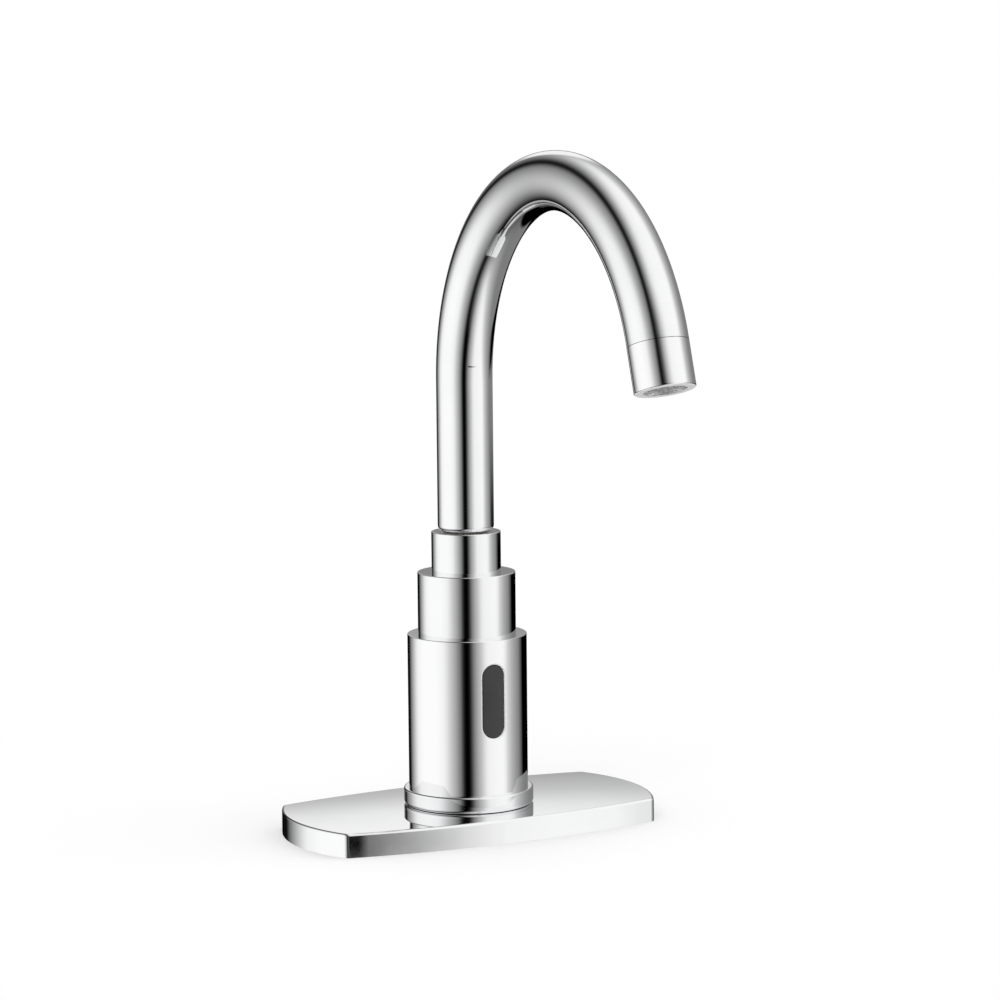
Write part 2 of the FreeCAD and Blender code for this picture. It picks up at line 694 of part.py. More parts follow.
def make_inlet():
    """The hexagon adaptor that the supply screws on to, and the strainer basket in its bore."""
    hex_foot = f"({SHANK_FOOT} - inlet_hex_height)"
    thread_foot = f"({hex_foot} - inlet_thread_length)"
    plug = "(cartridge_bore - seat_gap)"
    spigot = turned("inlet_spindle", [
        ("inlet_bore", thread_foot), ("inlet_thread_radius", thread_foot), ("inlet_thread_radius", hex_foot),
        (plug, hex_foot), (plug, SPIGOT_TOP), ("inlet_bore", SPIGOT_TOP)])
    dress_rim(spigot, "Chamfer", "thread_pitch / 2", "inlet_thread_radius", thread_foot)
    head = less("inlet_head", hexagon("inlet_hex", "inlet_flats", "inlet_hex_height", z=hex_foot),
                cylinder("inlet_hex_bore", "inlet_bore", "inlet_hex_height", z=hex_foot))
    keep("inlet_adaptor", joined("inlet_join", spigot, head))
    foot = f"({RIM_TOP} - strainer_depth)"
    rim, inside = "(cartridge_bore - part_gap)", "(strainer_radius - strainer_wall)"
    floor = f"({foot} + strainer_wall)"
    basket = turned("strainer_basket", [
        ("0", foot), ("strainer_radius", foot), ("strainer_radius", SPIGOT_TOP), (rim, SPIGOT_TOP),
        (rim, RIM_TOP), (inside, RIM_TOP), (inside, floor), ("0", floor)])
    low, high = f"{foot} + strainer_slot * 2", f"{SPIGOT_TOP} - strainer_slot * 2"
    half, reach = "(strainer_slot / 2)", "(strainer_radius + overcut)"
    slots = []
    for index in range(int(number("strainer_slots"))):
        slot = box(f"strainer_slot_{index}", (f"0 - {reach}", f"0 - {half}", low), (reach, half, high))
        slot.setExpression("Placement", bound(
            f"placement(vector(0; 0; 0); rotation(vector(0; 0; 1); {index} * 180 deg / strainer_slots)) * "
            f"placement(vector(0 - {reach}; 0 - {half}; {low}); rotation(vector(0; 0; 1); 0 deg))"))
        slots.append(slot)
    keep("inlet_strainer", less("strainer_cut", basket, *slots))


def make_check_valve():
    """The check cartridge under the step of the bore, its poppet and its spring."""
    outer = "(cartridge_bore - seat_gap)"
    inner = f"({outer} - check_wall)"
    guide = f"({CHECK_TOP} - check_floor)"
    stem_hole = "(poppet_stem + part_gap)"
    housing = turned("check_blank", [
        ("check_port", CHECK_FOOT), (outer, CHECK_FOOT), (outer, CHECK_TOP), (stem_hole, CHECK_TOP),
        (stem_hole, guide), (inner, guide), (inner, CHECK_SEAT), ("check_port", CHECK_SEAT)])
    windows = [cylinder(f"check_window_{angle}", "check_window_radius", "check_floor + 2 * overcut",
                        f"check_window_offset * cos({angle} deg)", f"check_window_offset * sin({angle} deg)",
                        f"{guide} - overcut") for angle in (45, 135, 225, 315)]
    keep("check_housing", less("check_cut", housing, *windows))
    stem_top = f"({CHECK_TOP} + part_gap)"
    shoulder = f"({POPPET_TOP} - poppet_thickness / 2)"
    keep("check_poppet", turned("check_poppet", [
        ("0", CHECK_SEAT), ("poppet_radius", CHECK_SEAT), ("poppet_radius", shoulder),
        ("(poppet_radius / 2)", POPPET_TOP), ("poppet_stem", POPPET_TOP), ("poppet_stem", stem_top),
        ("0", stem_top)]))
    keep("check_spring", coil("check_spring", "check_spring_radius", "check_wire", POPPET_TOP,
                              f"{guide} - {POPPET_TOP}", "check_turns"))


# --- manifold, piston and solenoid --------------------------------------------------------------

RISER_FOOT = f"({MANIFOLD_TOP} - riser_socket)"
PISTON_FOOT = f"({SEAT_TOP} + piston_pad)"
PISTON_TOP = f"({PISTON_FOOT} + piston_thickness)"
YOKE_FOOT = f"({BONNET_TOP} + seat_gap)"
BOBBIN_FOOT = f"({YOKE_FOOT} + yoke_thickness + seat_gap)"
BOBBIN_TOP = f"({BOBBIN_FOOT} + bobbin_height)"
MAGNET_TOP = f"({BOBBIN_TOP} + seat_gap + magnet_height)"
YOKE_TOP = f"({MAGNET_TOP} + seat_gap + yoke_thickness)"
CORE_TOP = f"({BONNET_TOP} + core_height)"
POLE_FOOT = f"({CORE_TOP} - pole_length)"
PLUNGER_FOOT = f"({BONNET_TOP} + plunger_tip)"
PLUNGER_TOP = f"({PLUNGER_FOOT} + plunger_length)"


DRAIN_RUN = f"(sqrt({VALVE_X} * {VALVE_X} + ({RISER_Y} - {VALVE_Y}) * ({RISER_Y} - {VALVE_Y})))"


EARS = (("left", ""), ("right", "0 - "))


def at_valve(piece):
    """Stands a piece on the valve's axis, turned to face the tap's axis."""
    return place(piece, VALVE_X, VALVE_Y, angle="valve_angle")


def along_drain(piece, run):
    """Lays a piece along the drilling that runs from the valve's axis to the riser."""
    heading = f"rotation(vector(0; 0; 1); atan2({RISER_Y} - {VALVE_Y}; 0 - {VALVE_X}))"
    piece.setExpression("Placement", bound(
        f"placement(vector({VALVE_X}; {VALVE_Y}; {FLANGE_TOP} + drain_level); {heading}) * "
        f"placement(vector({run}; 0; 0); rotation(vector(0; 1; 0); 90 deg))"))
    return piece


def make_manifold():
    """A brass block with the valve chamber, the seat, and the drillings to the riser."""
    round_block = cylinder("manifold_disc", MANIFOLD_RADIUS, "manifold_height", z=FLANGE_TOP)
    left = f"({BATTERY_X} + {CRADLE_RADIUS} + part_gap)"
    right = box("manifold_right", (left, f"{HOLDER_BACK} + holder_gap", FLANGE_TOP),
                (MANIFOLD_RADIUS, MANIFOLD_RADIUS, MANIFOLD_TOP))
    boss = cylinder("manifold_boss", "riser_boss", "manifold_height", y=RISER_Y, z=FLANGE_TOP)
    block = shared("manifold_block", round_block, joined("manifold_plan", right, boss))
    drain_axis, mouth = f"({FLANGE_TOP} + drain_level)", f"({MANIFOLD_TOP} + overcut)"
    chamber = at_valve(turned("manifold_chamber", [
        ("seat_bore", drain_axis), ("0", drain_axis), ("0", mouth), ("chamber_radius", mouth),
        ("chamber_radius", CHAMBER_FLOOR), ("seat_radius", CHAMBER_FLOOR), ("seat_radius", SEAT_TOP),
        ("seat_bore", SEAT_TOP)]))
    feed = cylinder("manifold_feed", "feed_radius", f"{CHAMBER_FLOOR} - {FLANGE_TOP} + 2 * overcut",
                    FEED_X, FEED_Y, f"{FLANGE_TOP} - overcut")
    drain = cylinder("manifold_drain", "drain_radius", f"{DRAIN_RUN} + riser_boss + overcut")
    along_drain(drain, "0")
    way, socket = "(riser_radius - riser_wall)", "(riser_radius + seat_gap)"
    riser = place(turned("manifold_riser", [
        ("0", drain_axis), (way, drain_axis), (way, RISER_FOOT), (socket, RISER_FOOT), (socket, mouth),
        ("0", mouth)]), y=RISER_Y)
    screw_foot = f"({BONNET_TOP} - bonnet_screw_length)"
    holes = [ear_spot(cylinder(f"manifold_hole_{side}", "(bonnet_screw_radius + seat_gap)",
                               "bonnet_screw_length + overcut"), sign, f"{screw_foot} - overcut")
             for side, sign in EARS]
    keep("manifold", less("manifold_cut", block, chamber, feed, drain, riser, *holes))
    drain_plug = along_drain(cylinder("drain_plug", "(drain_radius - seat_gap)", "plug_length"),
                             f"{DRAIN_RUN} + riser_boss - plug_length - part_gap")
    socket_plug = cylinder("socket_plug", "(socket_channel - seat_gap)", "plug_length - part_gap",
                           y=f"{SOCKET_RADIUS} - part_gap", z=f"{SOCKET_BASE} + socket_channel_level",
                           axis=(1, 0, 0), angle="90")
    keep("channel_plugs", group("channel_plugs", drain_plug, socket_plug))
    keep("riser_tube", place(tube("riser_tube", "riser_radius", "(riser_radius - riser_wall)", RISER_FOOT,
                                  f"{SOCKET_BASE} + riser_entry"), y=RISER_Y))


def ear_spot(piece, sign, z):
    """Puts a piece at one of the bonnet's two screw ears, either side of the valve's axis."""
    reach = f"({sign}bonnet_ear)"
    return place(piece, f"{VALVE_X} - {reach} * sin(valve_angle * 1 deg)",
                 f"{VALVE_Y} + {reach} * cos(valve_angle * 1 deg)", z)


def make_piston():
    """The servo piston that opens the main seat, with its soft pad and light spring."""
    pocket = f"({PISTON_TOP} - piston_pocket)"
    skirt, well = "(chamber_radius - slip_gap)", "(piston_spring_radius + piston_wire + part_gap)"
    blank = turned("piston_blank", [
        ("0", PISTON_FOOT), (skirt, PISTON_FOOT), (skirt, PISTON_TOP), (well, PISTON_TOP), (well, pocket),
        ("0", pocket)])
    bleed = cylinder("piston_bleed", "bleed_radius", "piston_thickness + 2 * overcut",
                     x="(piston_pad_radius + chamber_radius) / 2", z=f"{PISTON_FOOT} - overcut")
    keep("servo_piston", at_valve(less("piston_cut", blank, bleed)))
    keep("piston_pad", at_valve(disc("piston_pad", "piston_pad_radius", SEAT_TOP, PISTON_FOOT)))
    spring = coil("piston_spring", "piston_spring_radius", "piston_wire", pocket,
                  f"{MANIFOLD_TOP} + bonnet_recess - {pocket}", "piston_turns", VALVE_X, VALVE_Y)
    keep("piston_spring", spring)


def make_bonnet():
    """The chamber's lid with the pilot hole, and the two screws that hold it."""
    plate = cylinder("bonnet_plate", "bonnet_radius", "bonnet_thickness", z=MANIFOLD_TOP)
    ears = [cylinder(f"bonnet_ear_{side}", "bonnet_ear_radius", "bonnet_thickness",
                     y=f"{sign}bonnet_ear", z=MANIFOLD_TOP) for side, sign in EARS]
    recess = cylinder("bonnet_recess_disc", "chamber_radius", "bonnet_recess", z=MANIFOLD_TOP)
    pilot = cylinder("bonnet_pilot", "pilot_radius", "bonnet_thickness", z=MANIFOLD_TOP)
    holes = [cylinder(f"bonnet_hole_{side}", "(bonnet_screw_radius + seat_gap)", "bonnet_thickness",
                      y=f"{sign}bonnet_ear", z=MANIFOLD_TOP) for side, sign in EARS]
    lid = less("bonnet_cut", joined("bonnet_plan", plate, *ears), recess, pilot, *holes)
    keep("solenoid_bonnet", at_valve(lid))
    screws = [ear_spot(screw(f"bonnet_screw_{side}", "bonnet_screw_radius", "bonnet_screw_length",
                             "screw_head_radius", "screw_head_height"), sign, BONNET_TOP)
              for side, sign in EARS]
    keep("bonnet_screws", group("bonnet_screws", *screws))


def make_solenoid():
    """Core tube, pole, plunger, coil, magnet, yoke and nut, stacked on the bonnet."""
    bore = "(core_radius - core_wall)"
    keep("core_tube", at_valve(tube("core_tube", "core_radius", bore, BONNET_TOP, CORE_TOP)))
    pole, stud_top = f"({bore} - seat_gap)", f"({CORE_TOP} + pole_stud_length)"
    keep("fixed_pole", at_valve(turned("fixed_pole", [
        ("0", POLE_FOOT), (pole, POLE_FOOT), (pole, CORE_TOP), ("pole_stud", CORE_TOP),
        ("pole_stud", stud_top), ("0", stud_top)])))
    pocket = "(plunger_spring_radius + plunger_wire + part_gap)"
    pocket_floor = f"({PLUNGER_TOP} - plunger_pocket)"
    slug = f"({bore} - slip_gap)"
    keep("plunger", at_valve(turned("plunger", [
        ("0", PLUNGER_FOOT), (slug, PLUNGER_FOOT), (slug, PLUNGER_TOP), (pocket, PLUNGER_TOP),
        (pocket, pocket_floor), ("0", pocket_floor)])))
    keep("plunger_tip", at_valve(disc("plunger_tip", "plunger_tip_radius", BONNET_TOP, PLUNGER_FOOT)))
    keep("plunger_spring", coil("plunger_spring", "plunger_spring_radius", "plunger_wire", pocket_floor,
                                f"{POLE_FOOT} - {pocket_floor}", "plunger_turns", VALVE_X, VALVE_Y))
    inner = "(core_radius + seat_gap)"
    barrel = f"({inner} + bobbin_wall)"
    low, high = f"({BOBBIN_FOOT} + bobbin_flange_thickness)", f"({BOBBIN_TOP} - bobbin_flange_thickness)"
    flange = "bobbin_flange"
    keep("coil_bobbin", at_valve(turned("coil_bobbin", [
        (inner, BOBBIN_FOOT), (flange, BOBBIN_FOOT), (flange, low), (barrel, low), (barrel, high),
        (flange, high), (flange, BOBBIN_TOP), (inner, BOBBIN_TOP)])))
    winding = tube("coil_winding", f"({flange} - winding_margin)", f"({barrel} + seat_gap)",
                   f"{low} + seat_gap", f"{high} - seat_gap")
    keep("coil_winding", at_valve(winding))
    magnet = tube("latch_magnet", flange, inner, f"{BOBBIN_TOP} + seat_gap", MAGNET_TOP)
    keep("latch_magnet", at_valve(magnet))
    back = "(0 - yoke_reach - yoke_thickness)"
    foot_plate = box("yoke_foot_plate", (back, "0 - yoke_half_width", YOKE_FOOT),
                     ("yoke_reach", "yoke_half_width", f"{YOKE_FOOT} + yoke_thickness"))
    top_plate = box("yoke_top_plate", (back, "0 - yoke_half_width", f"{YOKE_TOP} - yoke_thickness"),
                    ("yoke_reach", "yoke_half_width", YOKE_TOP))
    strap = box("yoke_strap", (back, "0 - yoke_half_width", YOKE_FOOT),
                ("0 - yoke_reach", "yoke_half_width", YOKE_TOP))
    core_hole = cylinder("yoke_core_hole", inner, "yoke_thickness + 2 * overcut", z=f"{YOKE_FOOT} - overcut")
    stud_hole = cylinder("yoke_stud_hole", "(pole_stud + seat_gap)", "yoke_thickness + 2 * overcut",
                         z=f"{YOKE_TOP} - yoke_thickness - overcut")
    keep("coil_yoke", at_valve(less("yoke_cut", joined("yoke_plan", foot_plate, top_plate, strap),
                                    core_hole, stud_hole)))
    nut = less("coil_nut_cut", hexagon("coil_nut_hex", "coil_nut_flats", "coil_nut_height", z=YOKE_TOP),
               cylinder("coil_nut_hole", "(pole_stud + seat_gap)", "coil_nut_height + 2 * overcut",
                        z=f"{YOKE_TOP} - overcut"))
    keep("coil_nut", at_valve(nut))


# --- water joint ----------------------------------------------------------------------------------

def make_spout_socket():
    """The brass joint under the roof: riser in, spout spindle out, threaded for the upper collar."""
    tube_top = f"({MIDDLE_TOP} - middle_roof - part_gap)"
    well = f"({SOCKET_BASE} + socket_rise)"
    spindle_floor = f"({SPINDLE_FOOT} - part_gap)"
    thread_foot = f"({MIDDLE_TOP} - collar_spigot_length - part_gap)"
    bore = "(spindle_radius + part_gap)"
    blank = turned("socket_blank", [("0", SOCKET_BASE), (SOCKET_RADIUS, SOCKET_BASE),
                                    (SOCKET_RADIUS, ROOF_UNDER), ("socket_tube", ROOF_UNDER),
                                    ("socket_tube", tube_top), ("(collar_spigot + seat_gap)", tube_top),
                                    ("(collar_spigot + seat_gap)", thread_foot), (bore, thread_foot),
                                    (bore, spindle_floor), ("socket_well", spindle_floor),
                                    ("socket_well", well), ("0", well)])
    side = "(holder_half_width + part_gap)"
    front = box("socket_front", (f"0 - {side}", f"0 - {SOCKET_RADIUS} - overcut", f"{SOCKET_BASE} - overcut"),
                (side, f"{HOLDER_BACK} + holder_gap", f"{ROOF_UNDER} + overcut"))
    entry = cylinder("socket_entry", "(riser_radius + seat_gap)", "riser_entry + overcut", y=RISER_Y,
                     z=f"{SOCKET_BASE} - overcut")
    elbow = cylinder("socket_elbow", "(riser_radius - riser_wall)", "socket_channel_level", y=RISER_Y,
                     z=SOCKET_BASE)
    channel = cylinder("socket_channel_bore", "socket_channel", f"{SOCKET_RADIUS} + overcut",
                       y=f"{SOCKET_RADIUS} + overcut", z=f"{SOCKET_BASE} + socket_channel_level",
                       axis=(1, 0, 0), angle="90")
    keep("spout_socket", less("socket_cut", blank, front, entry, elbow, channel))


# --- sensor ---------------------------------------------------------------------------------------

def make_sensor():
    """The dark window in the shell's slot, and the board with its two eyes behind it."""
    half_w, half_h = "(window_width / 2 - window_seam)", "(window_height / 2 - window_seam)"
    flange_w, flange_h = f"({half_w} + lens_flange)", f"({half_h} + lens_flange)"
    face = cylinder("lens_face", "(shell_radius - window_recess)", SHELL_TOP)
    pane = shared("lens_pane", face, stadium("lens_slab", half_w, half_h, WINDOW_LEVEL, "0 - shell_radius",
                                             LENS_BACK))
    flange = stadium("lens_rim", flange_w, flange_h, WINDOW_LEVEL, LENS_FRONT, LENS_BACK)
    keep("sensor_window", joined("lens_join", pane, flange))
    outer = stadium("seam_outer", flange_w, flange_h, WINDOW_LEVEL, "0 - shell_radius",
                    LENS_FRONT)
    seat = cylinder("seam_seat", f"({SHELL_BORE} - seat_gap)", SHELL_TOP)
    slot = stadium("seam_slot", f"({half_w} + seat_gap)", f"({half_h} + seat_gap)", WINDOW_LEVEL,
                   "0 - shell_radius - overcut", f"{LENS_FRONT} + overcut")
    keep("window_gasket", less("seam_cut", shared("seam_block", outer, seat), slot))
    low, high = f"({WINDOW_LEVEL} - holder_half_height)", f"({WINDOW_LEVEL} + holder_half_height)"
    right, room = "holder_half_width", "(holder_half_width - holder_wall)"
    case = box("holder_case", (f"0 - {right}", LENS_BACK, low), (right, HOLDER_BACK, high))
    inner = box("holder_inner", (f"0 - {room}", f"{LENS_BACK} - overcut", f"{low} + holder_wall"),
                (room, f"{HOLDER_BACK} - holder_wall", f"{high} - holder_wall"))
    lying = {"axis": (1, 0, 0), "angle": "90"}
    bore, post = "(board_screw_radius + seat_gap)", "(board_stand + holder_wall)"
    posts, screws, holes, pilots = [], [], [], []
    for side, level in (("top", f"({high} - holder_wall - board_screw_margin)"),
                        ("foot", f"({low} + holder_wall + board_screw_margin)")):
        posts.append(cylinder(f"holder_post_{side}", "(board_screw_radius * 2)", post, y=HOLDER_BACK,
                              z=level, **lying))
        pilots.append(cylinder(f"holder_pilot_{side}", bore, f"{post} + 2 * overcut",
                               y=f"{HOLDER_BACK} + overcut", z=level, **lying))
        holes.append(cylinder(f"board_hole_{side}", bore, "board_thickness + 2 * overcut",
                              y=f"{BOARD_BACK} + overcut", z=level, **lying))
        screws.append(screw(f"board_screw_{side}", "board_screw_radius",
                            f"board_thickness + {post} - part_gap", "board_screw_head", "board_screw_radius",
                            y=BOARD_FRONT, z=level, **lying))
    divider = box("holder_divider", (f"0 - {right}", LENS_BACK, f"{WINDOW_LEVEL} - holder_wall / 2"),
                  (right, f"{BOARD_FRONT} - part_gap", f"{WINDOW_LEVEL} + holder_wall / 2"))
    gates = [cylinder(f"holder_gate_{side}", "(lead_radius + part_gap)", "holder_wall + 2 * overcut", x=x,
                      y=f"({BOARD_FRONT} - lead_radius * 2)", z=f"{WINDOW_LEVEL} + holder_half_height / 2",
                      axis=(0, 1, 0), angle="90")
             for side, x in (("left", f"0 - {right} - overcut"), ("right", f"{room} - overcut"))]
    frame = joined("holder_plan", less("holder_shell", case, inner), divider, *posts)
    keep("sensor_holder", less("holder_cut", frame, *pilots, *gates))
    margin = "(holder_wall + part_gap)"
    board = box("board_blank", (f"{margin} - holder_half_width", BOARD_FRONT, f"{low} + {margin}"),
                (f"holder_half_width - {margin}", BOARD_BACK, f"{high} - {margin}"))
    keep("sensor_board", less("board_cut", board, *holes))
    keep("board_screws", group("board_screws", *screws))
    for name, level in (("infrared_emitter", f"{WINDOW_LEVEL} + eye_spacing / 2"),
                        ("infrared_receiver", f"{WINDOW_LEVEL} - eye_spacing / 2")):
        collar = "(eye_radius + eye_collar)"
        eye = turned(name, [
            ("0", "0"), (collar, "0"), (collar, "eye_collar_height"), ("eye_radius", "eye_collar_height"),
            ("eye_radius", "eye_length - eye_radius / 2"), ("(eye_radius / 2)", "eye_length"),
            ("0", "eye_length")])
        keep(name, place(eye, y=BOARD_FRONT, z=level, **lying))
    clear = "(holder_wall / 2 + part_gap * 2)"
    chips = [box(name, ("0 - chip_width / 2", f"{BOARD_FRONT} - chip_height", level),
                 ("chip_width / 2", BOARD_FRONT, f"{level} + chip_depth"))
             for name, level in (("processor_chip", f"{WINDOW_LEVEL} - {clear} - chip_depth"),
                                 ("driver_chip", f"{WINDOW_LEVEL} + {clear}"))]
    keep("board_chips", group("board_chips", *chips))


# --- battery ----------------------------------------------------------------------------------------

CRADLE_TOP = f"({FLANGE_TOP} + cradle_floor + contact_thickness + battery_length + battery_nub)"
BATTERY_FOOT = f"({FLANGE_TOP} + cradle_floor + contact_thickness)"


def make_battery():
    """A round lithium cell in a cradle beside the manifold, between two contact plates."""
    spot = {"x": BATTERY_X, "y": BATTERY_Y}
    outer = CRADLE_RADIUS
    room, floor = "(battery_radius + part_gap)", f"({FLANGE_TOP} + cradle_floor)"
    cup = place(turned("cradle_cup", [
        ("0", FLANGE_TOP), (outer, FLANGE_TOP), (outer, CRADLE_TOP), (room, CRADLE_TOP), (room, floor),
        ("0", floor)]), **spot)
    limit = cylinder("cradle_limit", f"({SHELL_BORE} - bore_clearance)", SHELL_TOP)
    keep("battery_cradle", shared("cradle_common", cup, limit))
    can_top = f"({BATTERY_FOOT} + battery_length)"
    keep("battery_cell", place(turned("battery_cell", [
        ("0", BATTERY_FOOT), ("battery_radius", BATTERY_FOOT), ("battery_radius", can_top),
        ("battery_nub_radius", can_top), ("battery_nub_radius", CRADLE_TOP), ("0", CRADLE_TOP)]), **spot))
    lid_block = cylinder("lid_block", outer, "contact_thickness + cradle_wall", z=CRADLE_TOP, **spot)
    lid_room = cylinder("lid_room", "(contact_radius + part_gap)", "contact_thickness", z=CRADLE_TOP, **spot)
    keep("battery_lid", less("lid_cut", shared("lid_common", lid_block, limit), lid_room))
    plates = [cylinder(name, "contact_radius", "contact_thickness", z=level, **spot)
              for name, level in (("contact_foot", floor), ("contact_top", CRADLE_TOP))]
    keep("battery_contacts", group("battery_contacts", *plates))


def lead(name, points, radius):
    """A wire along straight runs joined by arcs, as large as half of the shorter run allows."""
    points = [FreeCAD.Vector(*p) for p in points]
    edges, start = [], points[0]
    for before, corner, after in zip(points, points[1:], points[2:]):
        u, v = (before - corner), (after - corner)
        trim = 0.45 * min(u.Length, v.Length)
        u.normalize()
        v.normalize()
        enter, leave = corner + u * trim, corner + v * trim
        half = math.acos(max(-1.0, min(1.0, u.dot(v)))) / 2
        bisector = (u + v).normalize()
        middle = corner + bisector * (trim / math.cos(half) - trim * math.tan(half))
        edges += [Part.LineSegment(start, enter).toShape(), Part.Arc(enter, middle, leave).toShape()]
        start = leave
    edges.append(Part.LineSegment(start, points[-1]).toShape())
    path = Part.Wire(edges)
    circle = Part.Wire(Part.Circle(points[0], points[1] - points[0], radius).toShape())
    piece = doc.addObject("Part::Feature", name)
    piece.Shape = path.makePipeShell([circle], True, False)
    print(f"{name}: length {path.Length:.1f} mm, volume check "
          f"{piece.Shape.Volume / (math.pi * radius ** 2 * path.Length):.4f}")
    return piece


def make_leads():
    """The battery's and the coil's wires, from the sides of the board's holder."""
    thick = number("lead_radius")
    y = number(f"({BOARD_FRONT} - lead_radius * 2)")
    z = number(f"{WINDOW_LEVEL} + holder_half_height / 2")
    side = number("holder_half_width - holder_wall / 2")
    lid = number(f"{CRADLE_TOP} + contact_thickness + cradle_wall")
    bx, by = number(BATTERY_X), number(BATTERY_Y)
    over = lid + 3.5
    keep("battery_lead", lead("battery_lead", [(-side, y, z), (-side - 4, y, z), (bx, y + 3, z + 3),
                                               (bx, by - 5, over), (bx, by, over), (bx, by, lid)], thick))
    vx, vy = number(VALVE_X), number(VALVE_Y)
    mid = number(f"({BOBBIN_FOOT} + {BOBBIN_TOP}) / 2")
    coil_front = vy - number("bobbin_flange - winding_margin")
    keep("solenoid_lead", lead("solenoid_lead", [(side, y, z), (side + 4, y, z), (vx + 3, y + 2.5, z - 2),
                                                 (vx, coil_front - 4, mid), (vx, coil_front, mid)], thick))


# --- spout --------------------------------------------------------------------------------------------

BEND_START = f"({UPPER_TOP} + riser_height)"
BEND_END_Y = "(bend_radius * (cos(bend_angle * 1 deg) - 1))"
BEND_END_Z = f"({BEND_START} + bend_radius * sin(bend_angle * 1 deg))"
TUBE_END_Y = f"({BEND_END_Y} - tail_length * sin(bend_angle * 1 deg))"
TUBE_END_Z = f"({BEND_END_Z} + tail_length * cos(bend_angle * 1 deg))"


def make_spout_tube():
    """A bent tube with a drawn-in foot: riser, one wide bend and a short tail."""
    body = doc.addObject("PartDesign::Body", "spout_body")
    path = sketch_on(body, "YZ_Plane", "spout_path")
    radius, sweep = number("bend_radius"), math.radians(number("bend_angle"))
    foot, start = FreeCAD.Vector(0, number(SPOUT_FOOT), 0), FreeCAD.Vector(0, number(BEND_START), 0)
    centre = start - FreeCAD.Vector(radius, 0, 0)
    leave = FreeCAD.Vector(number(BEND_END_Y), number(BEND_END_Z), 0)
    end = FreeCAD.Vector(number(TUBE_END_Y), number(TUBE_END_Z), 0)
    path.addGeometry(Part.LineSegment(foot, start), False)
    path.addGeometry(Part.ArcOfCircle(Part.Circle(centre, FreeCAD.Vector(0, 0, 1), radius), 0, sweep), False)
    path.addGeometry(Part.LineSegment(leave, end), False)
    path.addConstraint(Sketcher.Constraint("Coincident", 0, 2, 1, 1))
    path.addConstraint(Sketcher.Constraint("Coincident", 1, 2, 2, 1))
    pin_point(path, 0, 1, "0", SPOUT_FOOT)
    pin_point(path, 0, 2, "0", BEND_START)
    pin_point(path, 1, 3, "(0 - bend_radius)", BEND_START)
    row = path.addConstraint(Sketcher.Constraint("DistanceX", 1, 2, leave.x))
    path.setExpression(f"Constraints[{row}]", bound(BEND_END_Y))
    pin_point(path, 2, 2, TUBE_END_Y, TUBE_END_Z)
    section = sketch_on(body, "XY_Plane", "spout_section")
    bind(section, **{"AttachmentOffset.Base.z": SPOUT_FOOT})
    for index, size in enumerate(("tube_radius", "(tube_radius - tube_wall)")):
        circle_in(section, index, size)
        section.addConstraint(Sketcher.Constraint("Coincident", index, 3, -1, 1))
    doc.recompute()
    pipe = body.newObject("PartDesign::AdditivePipe", "spout_pipe")
    pipe.Profile = section
    pipe.Spine = (path, [])
    doc.recompute()
    lip = tube("spout_lip", "(tube_radius - tube_wall / 2)", "(spindle_radius + seat_gap)", SPOUT_FOOT,
               f"{SPOUT_FOOT} + tube_lip")
    whole = joined("spout_join", body, lip)
    whole.Refine = True
    doc.recompute()
    foot = [(int(e[4:]), number("tube_round"), number("tube_round"))
            for e in ring_edges(whole.Shape, number("tube_radius"), number(SPOUT_FOOT))]
    rounding = doc.addObject("Part::Fillet", "spout_foot_round")
    rounding.Base = whole
    rounding.Edges = foot
    keep("spout_tube", rounding)


def make_spindle():
    """The spout's brass spindle: two seal grooves below, and the stop groove in the collar."""
    inside = "(tube_radius - tube_wall - seat_gap)"
    shoulder = f"({SPOUT_FOOT} + tube_lip)"
    top = f"({shoulder} + spindle_shoulder)"
    floor = "(spindle_radius + part_gap - seat_gap * 2 - ring_section * 2)"
    outline = [("spindle_bore", SPINDLE_FOOT), ("spindle_radius", SPINDLE_FOOT)]
    for count in range(2):
        low = f"({SPINDLE_FOOT} + ring_margin + {count} * ring_pitch - ring_groove_width / 2)"
        high = f"({low} + ring_groove_width)"
        outline += [("spindle_radius", low), (floor, low), (floor, high), ("spindle_radius", high)]
    outline += [("spindle_radius", shoulder), (inside, shoulder), (inside, top), ("spindle_bore", top)]
    blank = turned("spindle_blank", outline)
    level = f"({MIDDLE_TOP} + stop_level - stop_groove_height / 2)"
    half = "(swivel_half_range + stop_lead)"
    sector = bind(doc.addObject("Part::Cylinder", "stop_sector"), Radius="(spindle_radius + overcut)",
                  Height="stop_groove_height", Angle=f"2 * {half} * 1 deg")
    place(sector, z=level, angle=f"90 - {half}")
    floor_pin = cylinder("stop_floor", "(spindle_radius - stop_groove_depth)",
                         "stop_groove_height + 2 * overcut", z=f"{level} - overcut")
    keep("spout_spindle", less("spindle_cut", blank, less("stop_groove", sector, floor_pin)))
    mean = "(spindle_radius + part_gap - seat_gap - ring_section)"
    rings = [torus(f"spindle_ring_{count}", mean, "ring_section",
                   z=f"{SPINDLE_FOOT} + ring_margin + {count} * ring_pitch") for count in range(2)]
    keep("spindle_o_rings", group("spindle_o_rings", *rings))


def at_outlet(piece):
    """Stands a piece made along +Z from zero on the tube's end, pointing out of the outlet."""
    return place(piece, y=TUBE_END_Y, z=TUBE_END_Z, axis=(1, 0, 0), angle="bend_angle")


HOUSING_SHELF = "(nipple_length + aerator_gap)"
CARTRIDGE_TOP = f"({HOUSING_SHELF} + aerator_washer)"


